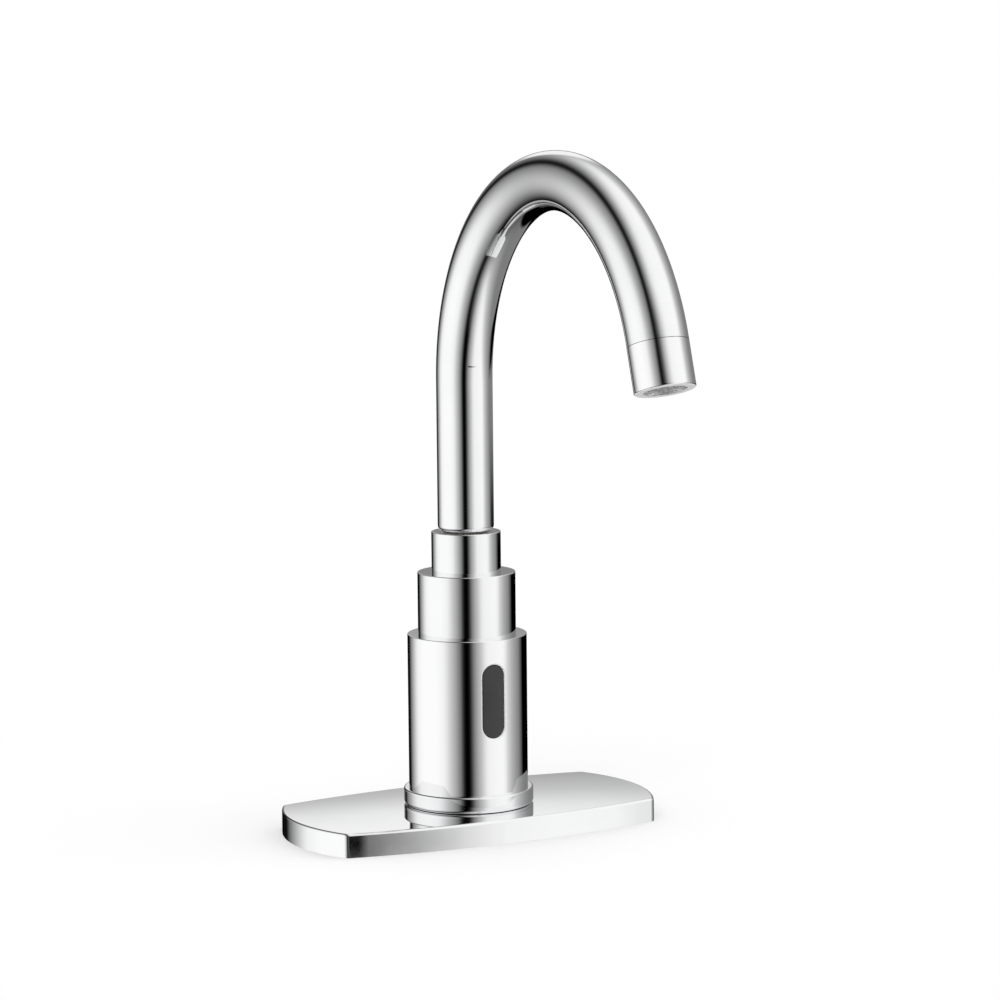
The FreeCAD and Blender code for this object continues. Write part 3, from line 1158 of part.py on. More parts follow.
def make_outlet():
    """The threaded nipple in the tube's end, and the aerator that screws over it."""
    inside = "(tube_radius - tube_wall - seat_gap)"
    keep("spout_nipple", at_outlet(turned("spout_nipple", [
        ("nipple_bore", "0 - nipple_root"), (f"({inside} - nipple_taper)", "0 - nipple_root"),
        (inside, "nipple_taper - nipple_root / 2"), (inside, "0"), ("nipple_radius", "0"),
        ("nipple_radius", "nipple_length"), ("nipple_bore", "nipple_length")])))
    thread = "(nipple_radius + slip_gap)"
    floor = "(aerator_length - aerator_lip)"
    housing = turned("aerator_housing", [
        (thread, "aerator_gap"), ("tube_radius", "aerator_gap"), ("tube_radius", "aerator_length"),
        ("aerator_mouth", "aerator_length"), ("aerator_mouth", floor), ("aerator_bore", floor),
        ("aerator_bore", CARTRIDGE_TOP), (thread, CARTRIDGE_TOP)])
    dress_rim(housing, "Fillet", "aerator_round", "tube_radius", "aerator_length")
    keep("aerator_housing", at_outlet(housing))
    washer = tube("aerator_washer", "(nipple_radius - part_gap)", "(nipple_bore - aerator_washer)",
                  f"{HOUSING_SHELF} + seat_gap", f"{CARTRIDGE_TOP} - seat_gap")
    keep("aerator_washer", at_outlet(washer))
    insert = "(aerator_bore - seat_gap)"
    regulator_foot = f"({CARTRIDGE_TOP} + regulator_thickness)"
    screen_top = f"({floor} - screen_thickness)"
    regulator = tube("flow_regulator", insert, "regulator_hole", f"{CARTRIDGE_TOP} + seat_gap",
                     regulator_foot)
    keep("flow_regulator", at_outlet(regulator))
    blank = disc("cartridge_blank", insert, regulator_foot, screen_top)
    depth = f"{screen_top} - {regulator_foot} + 2 * overcut"
    bores = [cylinder(f"cartridge_bore_{angle}", "cartridge_hole", depth,
                      f"cartridge_reach * cos({angle} deg)", f"cartridge_reach * sin({angle} deg)",
                      f"{regulator_foot} - overcut") for angle in range(0, 360, 45)]
    keep("aerator_cartridge", at_outlet(less("cartridge_cut", blank, *bores)))
    plate = disc("screen_plate", insert, screen_top, floor)
    holes = []
    for ring in range(1, int(number("screen_rings")) + 1):
        reach = f"screen_reach * {ring} / screen_rings"
        for step in range(6 * ring):
            angle = step * 60 / ring
            holes.append(cylinder(f"screen_hole_{ring}_{step}", "screen_hole",
                                  "screen_thickness + 2 * overcut", f"{reach} * cos({angle} deg)",
                                  f"{reach} * sin({angle} deg)", f"{screen_top} - overcut"))
    keep("aerator_screen", at_outlet(less("screen_cut", plate, *holes)))


make_deck_plate()
make_plate_gasket()
make_base_ring()
make_body_shell()
make_collars()
make_mounting_shank()
make_clamp()
make_inlet()
make_check_valve()
make_manifold()
make_piston()
make_bonnet()
make_solenoid()
make_spout_socket()
make_sensor()
make_battery()
make_leads()
make_spout_tube()
make_spindle()
make_outlet()
doc.recompute()

failed = [o.Label for o in doc.Objects if {"Invalid", "Error"} & set(o.State)]
if failed:
    raise RuntimeError(f"these objects failed: {failed}")
for name, piece in PIECES.items():
    if piece.Shape.isNull() or not piece.Shape.isValid() or not piece.Shape.Solids:
        raise RuntimeError(f"{name} has no valid shape")

os.makedirs("parts", exist_ok=True)
for name, piece in PIECES.items():
    piece.Shape.exportStep(f"parts/{name}.step")
print(f"{len(PIECES)} sub-parts, {sum(len(p.Shape.Solids) for p in PIECES.values())} solids")
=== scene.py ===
# %% [markdown]
# # A touch-free basin tap in polished chrome
# This notebook dresses the solids of a sensor tap. The object is chrome from foot to spout, and chrome has almost
# no colour of its own: what the eye reads is the room mirrored in it. So the lesson has three parts: finishes for
# every piece down to the coil, threads and springs worked out with numpy, and a studio for the chrome to look at.
#
# The solids come in the frame that every step shares: +Z is up, the deck is at Z = 0, lengths are in metres and the
# size is the real one.

# %% The frame
import json

import bpy
import numpy as np
from mathutils import Matrix, Vector


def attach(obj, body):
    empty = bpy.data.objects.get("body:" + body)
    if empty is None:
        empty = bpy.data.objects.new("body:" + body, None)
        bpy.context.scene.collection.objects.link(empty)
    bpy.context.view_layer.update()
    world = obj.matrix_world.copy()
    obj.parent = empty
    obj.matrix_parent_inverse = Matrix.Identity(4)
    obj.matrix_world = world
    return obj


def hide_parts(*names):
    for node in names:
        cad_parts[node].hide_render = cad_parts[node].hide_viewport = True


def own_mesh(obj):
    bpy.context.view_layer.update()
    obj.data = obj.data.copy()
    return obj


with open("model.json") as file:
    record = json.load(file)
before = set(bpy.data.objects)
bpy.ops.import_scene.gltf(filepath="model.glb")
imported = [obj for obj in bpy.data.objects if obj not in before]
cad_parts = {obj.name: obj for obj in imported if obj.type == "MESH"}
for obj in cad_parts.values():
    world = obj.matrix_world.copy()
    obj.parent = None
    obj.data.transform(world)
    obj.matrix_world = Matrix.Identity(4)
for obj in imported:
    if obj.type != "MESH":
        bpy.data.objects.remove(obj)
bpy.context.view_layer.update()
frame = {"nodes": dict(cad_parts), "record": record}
nodes = frame["nodes"]
slot_of = {part["node"]: part["material_slot"] for part in frame["record"]["subparts"]}

# %% [markdown]
# ## The camera
# The camera stands 1.38 m away, a little to the left of the tap's front and a little above it. Its place is given
# as a turn round the tap and a rise, and three small turns (yaw, pitch, roll) put the tap where it is in the picture.
# A place in X, Y and Z would do the same, but each of these numbers moves the picture in one way only, so they can be
# fitted one by one.

# %% Camera
MM = 0.001
CAMERA_TURN, CAMERA_RISE = np.radians(-26.26), np.radians(7.21)
CAMERA_REACH = 1380.61 * MM
AIM = Vector((0, 0, 130 * MM))
YAW, PITCH, ROLL = np.radians((-0.60, 0.32, 0.54))
FRAME_SIDE = 36.0
FOCAL_SHARE = 3.31008
NEAREST, FURTHEST = 0.05, 50


def camera_axes():
    """Right, up and back of the camera: it looks at the aim, then turns about the upright, its side and its line."""
    back = Vector((np.sin(CAMERA_TURN) * np.cos(CAMERA_RISE),
                   -np.cos(CAMERA_TURN) * np.cos(CAMERA_RISE), np.sin(CAMERA_RISE)))
    right = Vector((0, 0, 1)).cross(back).normalized()
    turn = Matrix.Rotation(YAW, 3, "Z")
    turn = Matrix.Rotation(PITCH, 3, turn @ right) @ turn
    turn = Matrix.Rotation(ROLL, 3, turn @ -back) @ turn
    return back, Matrix((turn @ right, turn @ back.cross(right), turn @ back)).transposed()


towards_camera, axes = camera_axes()
lens = bpy.data.cameras.new("camera")
lens.sensor_width = FRAME_SIDE
lens.lens = FOCAL_SHARE * FRAME_SIDE
lens.clip_start, lens.clip_end = NEAREST, FURTHEST
camera = bpy.data.objects.new("camera", lens)
camera.matrix_world = Matrix.Translation(AIM + CAMERA_REACH * towards_camera) @ axes.to_4x4()
bpy.context.scene.collection.objects.link(camera)
bpy.context.scene.camera = camera
bpy.context.scene.view_settings.view_transform = "Standard"
print("camera at", tuple(camera.location))

# %% [markdown]
# ## Arithmetic for shader graphs
# A material is a graph, but its recipe reads better as a sum. A `Wire` holds one socket, and adding or multiplying
# wires adds the Math nodes. Every other node comes from one method that takes its type, settings and sockets.

# %% Shader graphs
class Wire:
    """One socket of a shader graph, which adds and multiplies as a number does."""

    def __init__(self, graph, socket):
        self.graph, self.socket = graph, socket

    def maths(self, operation, *values):
        return self.graph.node("Math", {"operation": operation}, dict(enumerate(values)))

    def __add__(self, other):
        return self.maths("ADD", self, other)

    def __sub__(self, other):
        return self.maths("SUBTRACT", self, other)

    def __rsub__(self, other):
        return self.maths("SUBTRACT", other, self)

    def __mul__(self, other):
        return self.maths("MULTIPLY", self, other)

    __radd__, __rmul__ = __add__, __mul__


class Graph:
    """The node tree of a material or of the world."""

    def __init__(self, owner):
        owner.use_nodes = True
        self.tree = owner.node_tree
        self.tree.nodes.clear()

    def node(self, kind, settings=None, sockets=None, out=0):
        made = self.tree.nodes.new("ShaderNode" + kind)
        for key, value in (settings or {}).items():
            if key == "stops":
                self.set_stops(made.color_ramp.elements, value)
            else:
                setattr(made, key, value)
        for key, value in (sockets or {}).items():
            if isinstance(value, Wire):
                self.tree.links.new(value.socket, made.inputs[key])
            else:
                made.inputs[key].default_value = value
        return Wire(self, made.outputs[out]) if made.outputs else None

    def set_stops(self, elements, stops):
        """A ramp's stops as (place, brightness)."""
        while len(elements) > 1:
            elements.remove(elements[-1])
        for index, (spot, shade) in enumerate(stops):
            element = elements[0] if index == 0 else elements.new(spot)
            element.position = spot
            element.color = (shade, shade, shade, 1)

    def place(self, stretch=(1, 1, 1)):
        """Object coordinates in metres, stretched for a pattern."""
        spot = self.node("TexCoord", out="Object")
        return self.node("Mapping", {}, {"Vector": spot, "Scale": stretch})

    def noise(self, scale, detail, stretch):
        return self.node("TexNoise", {}, {"Vector": self.place(stretch), "Scale": scale, "Detail": detail})

    def bump(self, height, depth):
        return self.node("Bump", {}, {"Height": height, "Distance": depth, "Strength": 1.0})


# %% [markdown]
# ## Finishes
# One recipe serves every finish. It starts from a colour, mixes in a second one where a pattern says so, lets the
# roughness wander by the same pattern, and presses a fine relief into the surface. What differs is the pattern.

# %% Recipe
finishes = {}


def finish(name, colour, second, pattern, metallic, rough, relief=None):
    """A material: colour to second colour and low to high roughness by a pattern, with a relief in metres."""
    material = bpy.data.materials.new(name)
    graph = Graph(material)
    amount = pattern(graph)
    mixed = graph.node("Mix", {"data_type": "RGBA"}, {"Factor": amount, 6: (*colour, 1), 7: (*second, 1)}, out=2)
    sockets = {"Base Color": mixed, "Metallic": metallic if isinstance(metallic, float) else metallic(graph),
               "Roughness": rough[0] + (rough[1] - rough[0]) * amount}
    if relief:
        height, depth = relief
        sockets["Normal"] = graph.bump(height(graph), depth)
    graph.node("OutputMaterial", {}, {"Surface": graph.node("BsdfPrincipled", {}, sockets)})
    finishes[name] = material


# %% [markdown]
# A pattern is a function that waits for its graph. Clouds and cells stand for what comes about by chance, as in a
# polish, a casting or a foam. Three others know a place on the tap: the rim of the sensor's slot, the lip of the
# aerator and the crown of the plate. All of them read the piece's own coordinates, so a pattern moves with its piece.

# %% Patterns
def cloudy(scale, detail=3.0, stretch=(1, 1, 1), low=0.35, high=0.65):
    """A soft cloudy pattern whose middle range is spread from nought to one."""
    return lambda graph: graph.node("MapRange", {}, {
        "Value": graph.noise(scale, detail, stretch), "From Min": low, "From Max": high})


def cells(scale):
    """A pattern of round cells, as in foam or zinc crystals."""
    return lambda graph: graph.node("TexVoronoi", {}, {"Vector": graph.place(), "Scale": scale})


def rimmed(level, half_width, half_height, width):
    """One on a rim of that width round an upright slot in the front, and nought elsewhere.

    The slot is a line with round ends, so the distance is the length left after the line's part is taken off."""
    def share(graph):
        spot = graph.node("TexCoord", out="Object")
        parts = {axis: graph.node("SeparateXYZ", {}, {0: spot}, out=axis) for axis in "XYZ"}
        rise = (parts["Z"] - level).maths("ABSOLUTE", parts["Z"] - level) - (half_height - half_width)
        rise = rise.maths("MAXIMUM", rise, 0.0)
        apart = parts["X"] * parts["X"] + rise * rise
        near = apart.maths("LESS_THAN", apart, (half_width + width) ** 2)
        return near * parts["Y"].maths("LESS_THAN", parts["Y"], 0.0)
    return share


def lipped(axis, level):
    """One where a point's reach along the axis is below a level, and nought elsewhere."""
    def share(graph):
        spot = graph.node("TexCoord", out="Object")
        reach = graph.node("VectorMath", {"operation": "DOT_PRODUCT"}, {0: spot, 1: axis}, out="Value")
        return reach.maths("LESS_THAN", reach, level)
    return share


def crowned(rise, half_width):
    """The height of a face that is higher along its middle: it falls with the square of the distance from there."""
    def height(graph):
        side = graph.node("SeparateXYZ", {}, {0: graph.node("TexCoord", out="Object")}, out="Y")
        return side * side * (-rise / half_width ** 2)
    return height


# %% [markdown]
# The tap is cast and turned brass, plated and polished until it mirrors, so its chrome gets only a trace of
# roughness. Two narrow bands are satin, because the polishing wheel doesn't reach them: the rim of the sensor's slot
# and the aerator's flat lip. They could be meshes of their own, but on the real tap each is one piece with the
# polished face beside it, so the finish tells them apart. The plate's slight crown is a bump for the same reason.

# %% Chrome
WINDOW = (56.5 * MM, 5.1 * MM, 15.5 * MM)
RIM = 0.6 * MM
LIP = ((0, 0.3007, 0.9537), 136.5 * MM)
CROWN = (0.35 * MM, 40 * MM)
CHROME = ((0.93, 0.93, 0.935), (0.90, 0.905, 0.91))
POLISHED = (0.025, 0.05)
POLISHED_TO_SATIN = (0.03, 0.4)
SATIN_LOSS = 0.75
finish("chrome", *CHROME, cloudy(40), 1.0, POLISHED)
finish("crowned_chrome", *CHROME, cloudy(40), 1.0, POLISHED, (crowned(*CROWN), 1.0))
for name, band in (("chrome_and_rim", rimmed(*WINDOW, RIM)), ("chrome_and_lip", lipped(*LIP))):
    finish(name, *CHROME, band, lambda graph: 1 - SATIN_LOSS * band(graph), POLISHED_TO_SATIN)
print("chrome:", *finishes)

# %% [markdown]
# The inside isn't plated. Turned brass and stainless steel carry fine rings from the tool, so their clouds are
# squeezed along the axis until they are lines, and so are those of the copper winding, for its turns of wire. Plain
# steel shows the crystals of its zinc coat, and the grease on the spindle hides the metal.

# %% Bare metals
finish("brass", (0.74, 0.58, 0.30), (0.62, 0.46, 0.22), cloudy(300, 4, (1, 1, 14)), 1.0, (0.22, 0.38),
       (cloudy(900, 2, (1, 1, 30)), 0.00002))
finish("greased_brass", (0.10, 0.08, 0.05), (0.06, 0.05, 0.035), cloudy(300, 4), 0.6, (0.3, 0.5))
finish("steel", (0.62, 0.62, 0.61), (0.50, 0.51, 0.53), cells(600), 1.0, (0.28, 0.45))
finish("stainless", (0.70, 0.70, 0.70), (0.60, 0.60, 0.61), cloudy(500, 3, (1, 1, 20)), 1.0, (0.18, 0.3))
finish("matt_stainless", (0.86, 0.86, 0.86), (0.78, 0.78, 0.79), cloudy(500), 1.0, (0.5, 0.62))
finish("copper", (0.72, 0.33, 0.15), (0.5, 0.2, 0.08), cloudy(500, 2, (1, 1, 8)), 1.0, (0.25, 0.4))
print("with the bare metals:", *finishes)

# %% [markdown]
# Seals are black rubber with a grainy skin, and the plate's gasket is foam, whose relief is its cells. Mouldings have
# a shallower grain. The window is smooth and nearly black, because it lets infrared light through and hides the eyes.

# %% Rubber and plastics
finish("rubber", (0.035, 0.035, 0.036), (0.06, 0.06, 0.058), cloudy(250), 0.0, (0.62, 0.8),
       (cloudy(2500), 0.00003))
finish("foam", (0.22, 0.22, 0.23), (0.14, 0.14, 0.15), cells(900), 0.0, (0.85, 0.95),
       (cells(900), 0.0002))
finish("black_plastic", (0.045, 0.045, 0.047), (0.06, 0.06, 0.062), cloudy(300), 0.0, (0.38, 0.5),
       (cloudy(3500), 0.000015))
finish("white_plastic", (0.86, 0.86, 0.84), (0.80, 0.79, 0.76), cloudy(120), 0.0, (0.32, 0.45),
       (cloudy(2000), 0.00001))
finish("window", (0.022, 0.022, 0.023), (0.018, 0.018, 0.02), cloudy(150), 0.0, (0.18, 0.24))
finish("clear_eye", (0.62, 0.66, 0.72), (0.52, 0.56, 0.66), cloudy(300), 0.0, (0.05, 0.1))
finish("board", (0.05, 0.24, 0.11), (0.03, 0.14, 0.06), cloudy(700, 1), 0.0, (0.3, 0.4))
finish("cell", (0.2, 0.22, 0.28), (0.16, 0.17, 0.22), cloudy(200), 0.6, (0.25, 0.35))
finish("insulation", (0.55, 0.05, 0.04), (0.42, 0.03, 0.03), cloudy(400), 0.0, (0.4, 0.5))
print("with rubber and plastics:", *finishes)

# %% [markdown]
# Every solid wears the finish of its material slot. Five pieces wear a version of it that suits their place: the
# plate, the body's shell, the spindle, the aerator's screen and its housing.

# %% Dressing
SPECIAL = {"deck_plate": "crowned_chrome", "body_shell": "chrome_and_rim", "spout_spindle": "greased_brass",
           "aerator_screen": "matt_stainless", "aerator_housing": "chrome_and_lip"}
for node, piece in nodes.items():
    piece.data.materials.clear()
    piece.data.materials.append(finishes[SPECIAL.get(node, slot_of[node])])
print(len(nodes), "pieces in", len(finishes), "finishes")

# %% [markdown]
# ## Threads
# The solids have plain cylinders where the real pieces are threaded. Two of them show below the deck, the shank and
# the inlet, and the spout's nipple shows when the aerator is screwed off. All three are built again here with their
# threads cut. Each is a chain of grids, and a grid is a pile of circles joined in their order: outwards over the top,
# down the outside, inwards below and up the bore.

# %% Circles
TURN = np.linspace(0, 2 * np.pi, 145)


def circles(*rows, centre=(0, 0), flats=False):
    """Circles of (radius, height) in millimetres. With flats they are hexagons: the radius is that of the flats,
    divided by the cosine of the angle from the middle of a flat."""
    radius, height = np.array(rows, float).T[:, :, None]
    if flats:
        radius = radius / np.cos(TURN % (np.pi / 3) - np.pi / 6)
    return np.stack(np.broadcast_arrays(centre[0] + radius * np.cos(TURN), centre[1] + radius * np.sin(TURN),
                                        height), -1)


def thread(radius, pitch, depth, top, foot, steps=10, steepness=1.6, flat=0.3):
    """A right-hand thread: the radius less the depth times a wave of height over pitch less the turn.

    The wave is a triangle, steeper than it need be and cut flat at its tips, and it fades within one pitch at both
    ends."""
    height = np.linspace(top, foot, int((top - foot) / pitch * steps) + 1)[:, None]
    wave = np.clip(np.abs(2 * ((height / pitch - TURN / (2 * np.pi)) % 1) - 1) * steepness - flat, 0, 1)
    reach = radius - depth * wave * np.clip(np.minimum(top - height, height - foot) / pitch, 0, 1)
    return np.stack(np.broadcast_arrays(reach * np.cos(TURN), reach * np.sin(TURN), height), -1)


def joined(*grids):
    return np.concatenate(grids)


# %% Standing in
def stand_in(name, node, body, mesh):
    """A piece that takes a solid's place, its finish and its way of moving."""
    mesh.materials.append(finishes[slot_of[node]])
    piece = bpy.data.objects.new(name, mesh)
    bpy.context.scene.collection.objects.link(piece)
    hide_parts(node)
    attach(piece, body)
    print(name, len(mesh.polygons), "faces")
    return piece


# %% Welding
DECIMALS = 4


def weld(name, node, body, *grids):
    """One closed mesh from the grids. A point's normal is the cross product of the steps along and across its grid,
    so edges inside a grid are soft and edges between grids are sharp. Points that fall together are welded."""
    points, normals, faces, count = [], [], [], 0
    for grid in grids:
        grid[:, -1] = grid[:, 0]
        along, ring = np.gradient(grid, axis=0), grid[:, :-1]
        across = np.roll(ring, -1, 1) - np.roll(ring, 1, 1)
        normal = np.cross(along, joined(across.swapaxes(0, 1), across[:, :1].swapaxes(0, 1)).swapaxes(0, 1))
        cell = count + np.arange(grid[..., 0].size).reshape(grid.shape[:2])
        faces.append(np.stack((cell[:-1, :-1], cell[1:, :-1], cell[1:, 1:], cell[:-1, 1:]), -1).reshape(-1, 4))
        points.append(grid.reshape(-1, 3))
        normals.append(normal.reshape(-1, 3) / np.linalg.norm(normal, axis=-1).reshape(-1, 1))
        count += cell.size
    points, normals, faces = joined(*points), joined(*normals), joined(*faces)
    spots, index = np.unique(np.round(points, DECIMALS) + 0.0, axis=0, return_inverse=True)
    mesh = bpy.data.meshes.new(name)
    mesh.from_pydata((spots * MM).tolist(), [], index.reshape(-1)[faces].tolist())
    mesh.polygons.foreach_set("use_smooth", np.ones(len(faces), bool))
    mesh.normals_split_custom_set(normals[faces].reshape(-1, 3).tolist())
    stand_in(name, node, body, mesh)


# %% [markdown]
# The shank is the brass tube that goes through the deck. The inside stands on its flange, and its M33 thread climbs
# 2 mm a turn. The water leaves by a small port beside the axis, so the flange's top is a ring with its inner circle
# off centre: a grid of two circles joins any two, wherever their centres are.

# %% Shank
PORT = (3.618, 1.317)
PORT_RADIUS, FEED, BORE, SHANK, FLANGE = 2.8, 7.0, 8.0, 16.5, 22.2
FLANGE_TOP, FLANGE_FOOT, FEED_TOP, STEP, SHANK_FOOT = 25.0, 17.0, 21.0, -25.0, -52.0
NECK_FOOT, CHAMFER = -2.0, 1.0
SHANK_PITCH, SHANK_DEPTH = 2.0, 1.15
weld("threaded_shank", "mounting_shank", "tap_body",
     joined(circles((PORT_RADIUS, FLANGE_TOP), centre=PORT), circles((FLANGE, FLANGE_TOP))),
     circles((FLANGE, FLANGE_TOP), (FLANGE, FLANGE_FOOT)),
     circles((FLANGE, FLANGE_FOOT), (SHANK, FLANGE_FOOT)),
     circles((SHANK, FLANGE_FOOT), (SHANK, NECK_FOOT)),
     thread(SHANK, SHANK_PITCH, SHANK_DEPTH, NECK_FOOT, SHANK_FOOT + CHAMFER),
     circles((SHANK, SHANK_FOOT + CHAMFER), (SHANK - CHAMFER, SHANK_FOOT)),
     circles((SHANK - CHAMFER, SHANK_FOOT), (BORE, SHANK_FOOT)),
     circles((BORE, SHANK_FOOT), (BORE, STEP)),
     circles((BORE, STEP), (FEED, STEP)),
     circles((FEED, STEP), (FEED, FEED_TOP)),
     joined(circles((FEED, FEED_TOP)), circles((PORT_RADIUS, FEED_TOP), centre=PORT)),
     circles((PORT_RADIUS, FEED_TOP), (PORT_RADIUS, FLANGE_TOP), centre=PORT))

# %% [markdown]
# The inlet sits in the shank's foot. Below its spigot come a hexagon for a spanner, 27 mm across the flats, and the
# half-inch thread for the nut of a hose. A hexagon is one more circle whose radius changes with the angle, so the
# same chain makes it.

# %% Inlet
SPIGOT, INLET_BORE, INLET, FLATS = 7.95, 6.0, 10.48, 13.5
SPIGOT_TOP, HEX_TOP, HEX_FOOT, INLET_FOOT = -45.0, -52.0, -60.0, -74.0
INLET_PITCH, INLET_DEPTH = 1.814, 1.1
weld("threaded_inlet", "inlet_adaptor", "tap_body",
     circles((INLET_BORE, SPIGOT_TOP), (SPIGOT, SPIGOT_TOP)),
     circles((SPIGOT, SPIGOT_TOP), (SPIGOT, HEX_TOP)),
     joined(circles((SPIGOT, HEX_TOP)), circles((FLATS, HEX_TOP), flats=True)),
     circles((FLATS, HEX_TOP), (FLATS, HEX_FOOT), flats=True),
     joined(circles((FLATS, HEX_FOOT), flats=True), circles((INLET, HEX_FOOT))),
     thread(INLET, INLET_PITCH, INLET_DEPTH, HEX_FOOT, INLET_FOOT + CHAMFER),
     circles((INLET, INLET_FOOT + CHAMFER), (INLET - CHAMFER, INLET_FOOT)),
     circles((INLET - CHAMFER, INLET_FOOT), (INLET_BORE, INLET_FOOT)),
     circles((INLET_BORE, INLET_FOOT), (INLET_BORE, SPIGOT_TOP)))

# %% [markdown]
# The nipple is the threaded end of the spout's tube, and the aerator screws onto it. The outlet leans by 17.5
# degrees. The formulas stay simple if the nipple is made upright and every grid is leaned into place afterwards.

# %% Nipple
OUTLET, LEAN = np.array((0, -162.459, 213.005)), np.radians(17.5)
NIPPLE, NIPPLE_BORE, SEAT, TIP = 9.9, 7.5, 10.45, 10.05
TIP_TOP, SEAT_TOP, NIPPLE_FOOT = 6.0, 2.6, -8.0
NIPPLE_PITCH, NIPPLE_DEPTH, BEVEL = 0.94, 0.5, 0.5


def leaned(grid):
    """Turns a grid about the X axis, from upright to the slant of the outlet, and moves it there."""
    x, y, z = np.moveaxis(grid, -1, 0)
    return OUTLET + np.stack((x, y * np.cos(LEAN) + z * np.sin(LEAN), z * np.cos(LEAN) - y * np.sin(LEAN)), -1)


weld("threaded_nipple", "spout_nipple", "spout", *map(leaned, (
     circles((NIPPLE_BORE, TIP_TOP), (TIP, TIP_TOP)),
     circles((TIP, TIP_TOP), (SEAT, SEAT_TOP)),
     circles((SEAT, SEAT_TOP), (SEAT, 0)),
     circles((SEAT, 0), (NIPPLE, 0)),
     thread(NIPPLE, NIPPLE_PITCH, NIPPLE_DEPTH, 0, NIPPLE_FOOT + BEVEL),
     circles((NIPPLE, NIPPLE_FOOT + BEVEL), (NIPPLE - BEVEL, NIPPLE_FOOT)),
     circles((NIPPLE - BEVEL, NIPPLE_FOOT), (NIPPLE_BORE, NIPPLE_FOOT)),
     circles((NIPPLE_BORE, NIPPLE_FOOT), (NIPPLE_BORE, TIP_TOP)))))

# %% [markdown]
# ## Springs
# Three springs inside the valve are pressed together as it opens. Each is a round wire on a helix whose one end stays
# where it is, and each is made here as a piece of its own, from its start to the end that stays still. A real wire
# stays round when its coils come closer.

# %% Springs
def spring(name, node, mean, wire, start, still, turns, centre=(0, 0), steps=24, sides=12):
    """A helix of the mean radius, with a circle of the wire's radius in the upright plane through the axis.

    A point is at the radius mean + wire cos u and at the height of the helix + wire sin u. It rises from the start
    to the end that stays still, all in millimetres."""
    turn = np.linspace(0, 2 * np.pi * turns, turns * steps + 1)[:, None]
    side = np.linspace(0, 2 * np.pi, sides, endpoint=False)
    radius = mean + wire * np.cos(side)
    rise = start + wire + (still - start - 2 * wire) * turn / turn[-1] + wire * np.sin(side)
    points = np.stack((centre[0] + radius * np.cos(turn), centre[1] + radius * np.sin(turn), rise), -1)
    cell = np.arange(points[..., 0].size).reshape(points.shape[:2])
    beside = np.roll(cell, -1, 1)
    quads = np.stack((cell[:-1], cell[1:], beside[1:], beside[:-1]), -1).reshape(-1, 4)
    mesh = bpy.data.meshes.new(name)
    mesh.from_pydata((points.reshape(-1, 3) * MM).tolist(), [],
                     quads.tolist() + [cell[0].tolist(), cell[-1, ::-1].tolist()])
    mesh.polygons.foreach_set("use_smooth", np.arange(len(mesh.polygons)) < len(quads))
    piece = stand_in(name, node, "tap_body", mesh)
    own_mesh(piece)


VALVE = (10.9945, 4.0017)
spring("pressed_check_spring", "check_spring",
       mean=2.4, wire=0.3, start=-39.7, still=-27.0, turns=6)
spring("pressed_piston_spring", "piston_spring",
       mean=4.4, wire=0.35, start=41.2, still=47.0, turns=4, centre=VALVE)
spring("pressed_plunger_spring", "plunger_spring",
       mean=1.9, wire=0.25, start=54.2, still=60.2, turns=6, centre=VALVE)

# %% [markdown]
# ## The studio
# A photographer lights chrome with what it mirrors. Here a big round softbox stands to the tap's left, with a black
# gap round its rim, and a white tent closes the room. Behind, on the right, the tent has a dark doorway. All of it
# is in the world's colour for mirror rays only. Dull surfaces get plain, even light, and the camera sees white.
#
# The room could be built from glowing panels. But a mirror asks only which way its ray leaves, so a brightness for
# every direction does the same, without grain and with nothing that stands in the way.

# %% Studio
SOFTBOX = (-79.0, -7.0)
DOOR = (150.0, -20.0)
DARK_PATCHES = ((180, -33), (179, -15))
BLIND = (183, 22)
WIDE_GAP = (10, -8)
SKIRTING = (165, 0)
CHROME_MIRRORS = 0.915
WHITE, BLACK = (1, 1, 1, 1), (0, 0, 0, 1)
UP = Vector((0, 0, 1))

world = bpy.data.worlds.new("studio")
bpy.context.scene.world = world
studio = Graph(world)
ray = studio.node("TexCoord", out="Generated")


def bearing(turn, rise):
    """The direction of a place in the room: a turn in degrees from the camera's side to the right, and a rise."""
    turn, rise = np.radians(turn) + CAMERA_TURN, np.radians(rise)
    return Vector((np.sin(turn) * np.cos(rise), -np.cos(turn) * np.cos(rise), np.sin(rise)))


def glow(level):
    """The linear brightness that shows as a level from 0 to 255 in a mirror of chrome."""
    share = level / 255
    return (share / 12.92 if share < 0.04 else ((share + 0.055) / 1.055) ** 2.4) / CHROME_MIRRORS


def away(direction):
    """The angle between the ray and a direction, as a share of a half turn."""
    near = studio.node("VectorMath", {"operation": "DOT_PRODUCT"}, {0: ray, 1: direction}, out="Value")
    return near.maths("ARCCOSINE", near) * (1 / np.pi)


def ramp(direction, *stops):
    """A factor that changes with the angle in degrees from a direction."""
    return studio.node("ValToRGB", {"stops": [(angle / 180, share) for angle, share in stops]},
                       {"Fac": away(direction)})


def shades(direction, *stops):
    """A grey that changes with the angle in degrees from a direction, given by the levels shown."""
    return ramp(direction, *((angle, glow(level)) for angle, level in stops))


def blended(first, second, share, how="MIX"):
    """Two colours mixed, or multiplied, by a share."""
    return studio.node("Mix", {"data_type": "RGBA", "blend_type": how}, {"Factor": share, 6: first, 7: second}, out=2)


# %% [markdown]
# A ramp over the angle from one direction draws rings round it, and all the walls are made of such rings. The gap
# round the softbox is wide in front and a slit elsewhere. The doorway multiplies what is there. Behind the tap, a
# dark skirting runs below the horizon, with two dark patches near it and a pale blind above them. Those show in the
# edges of the body and the spout, where the chrome mirrors what is behind it.

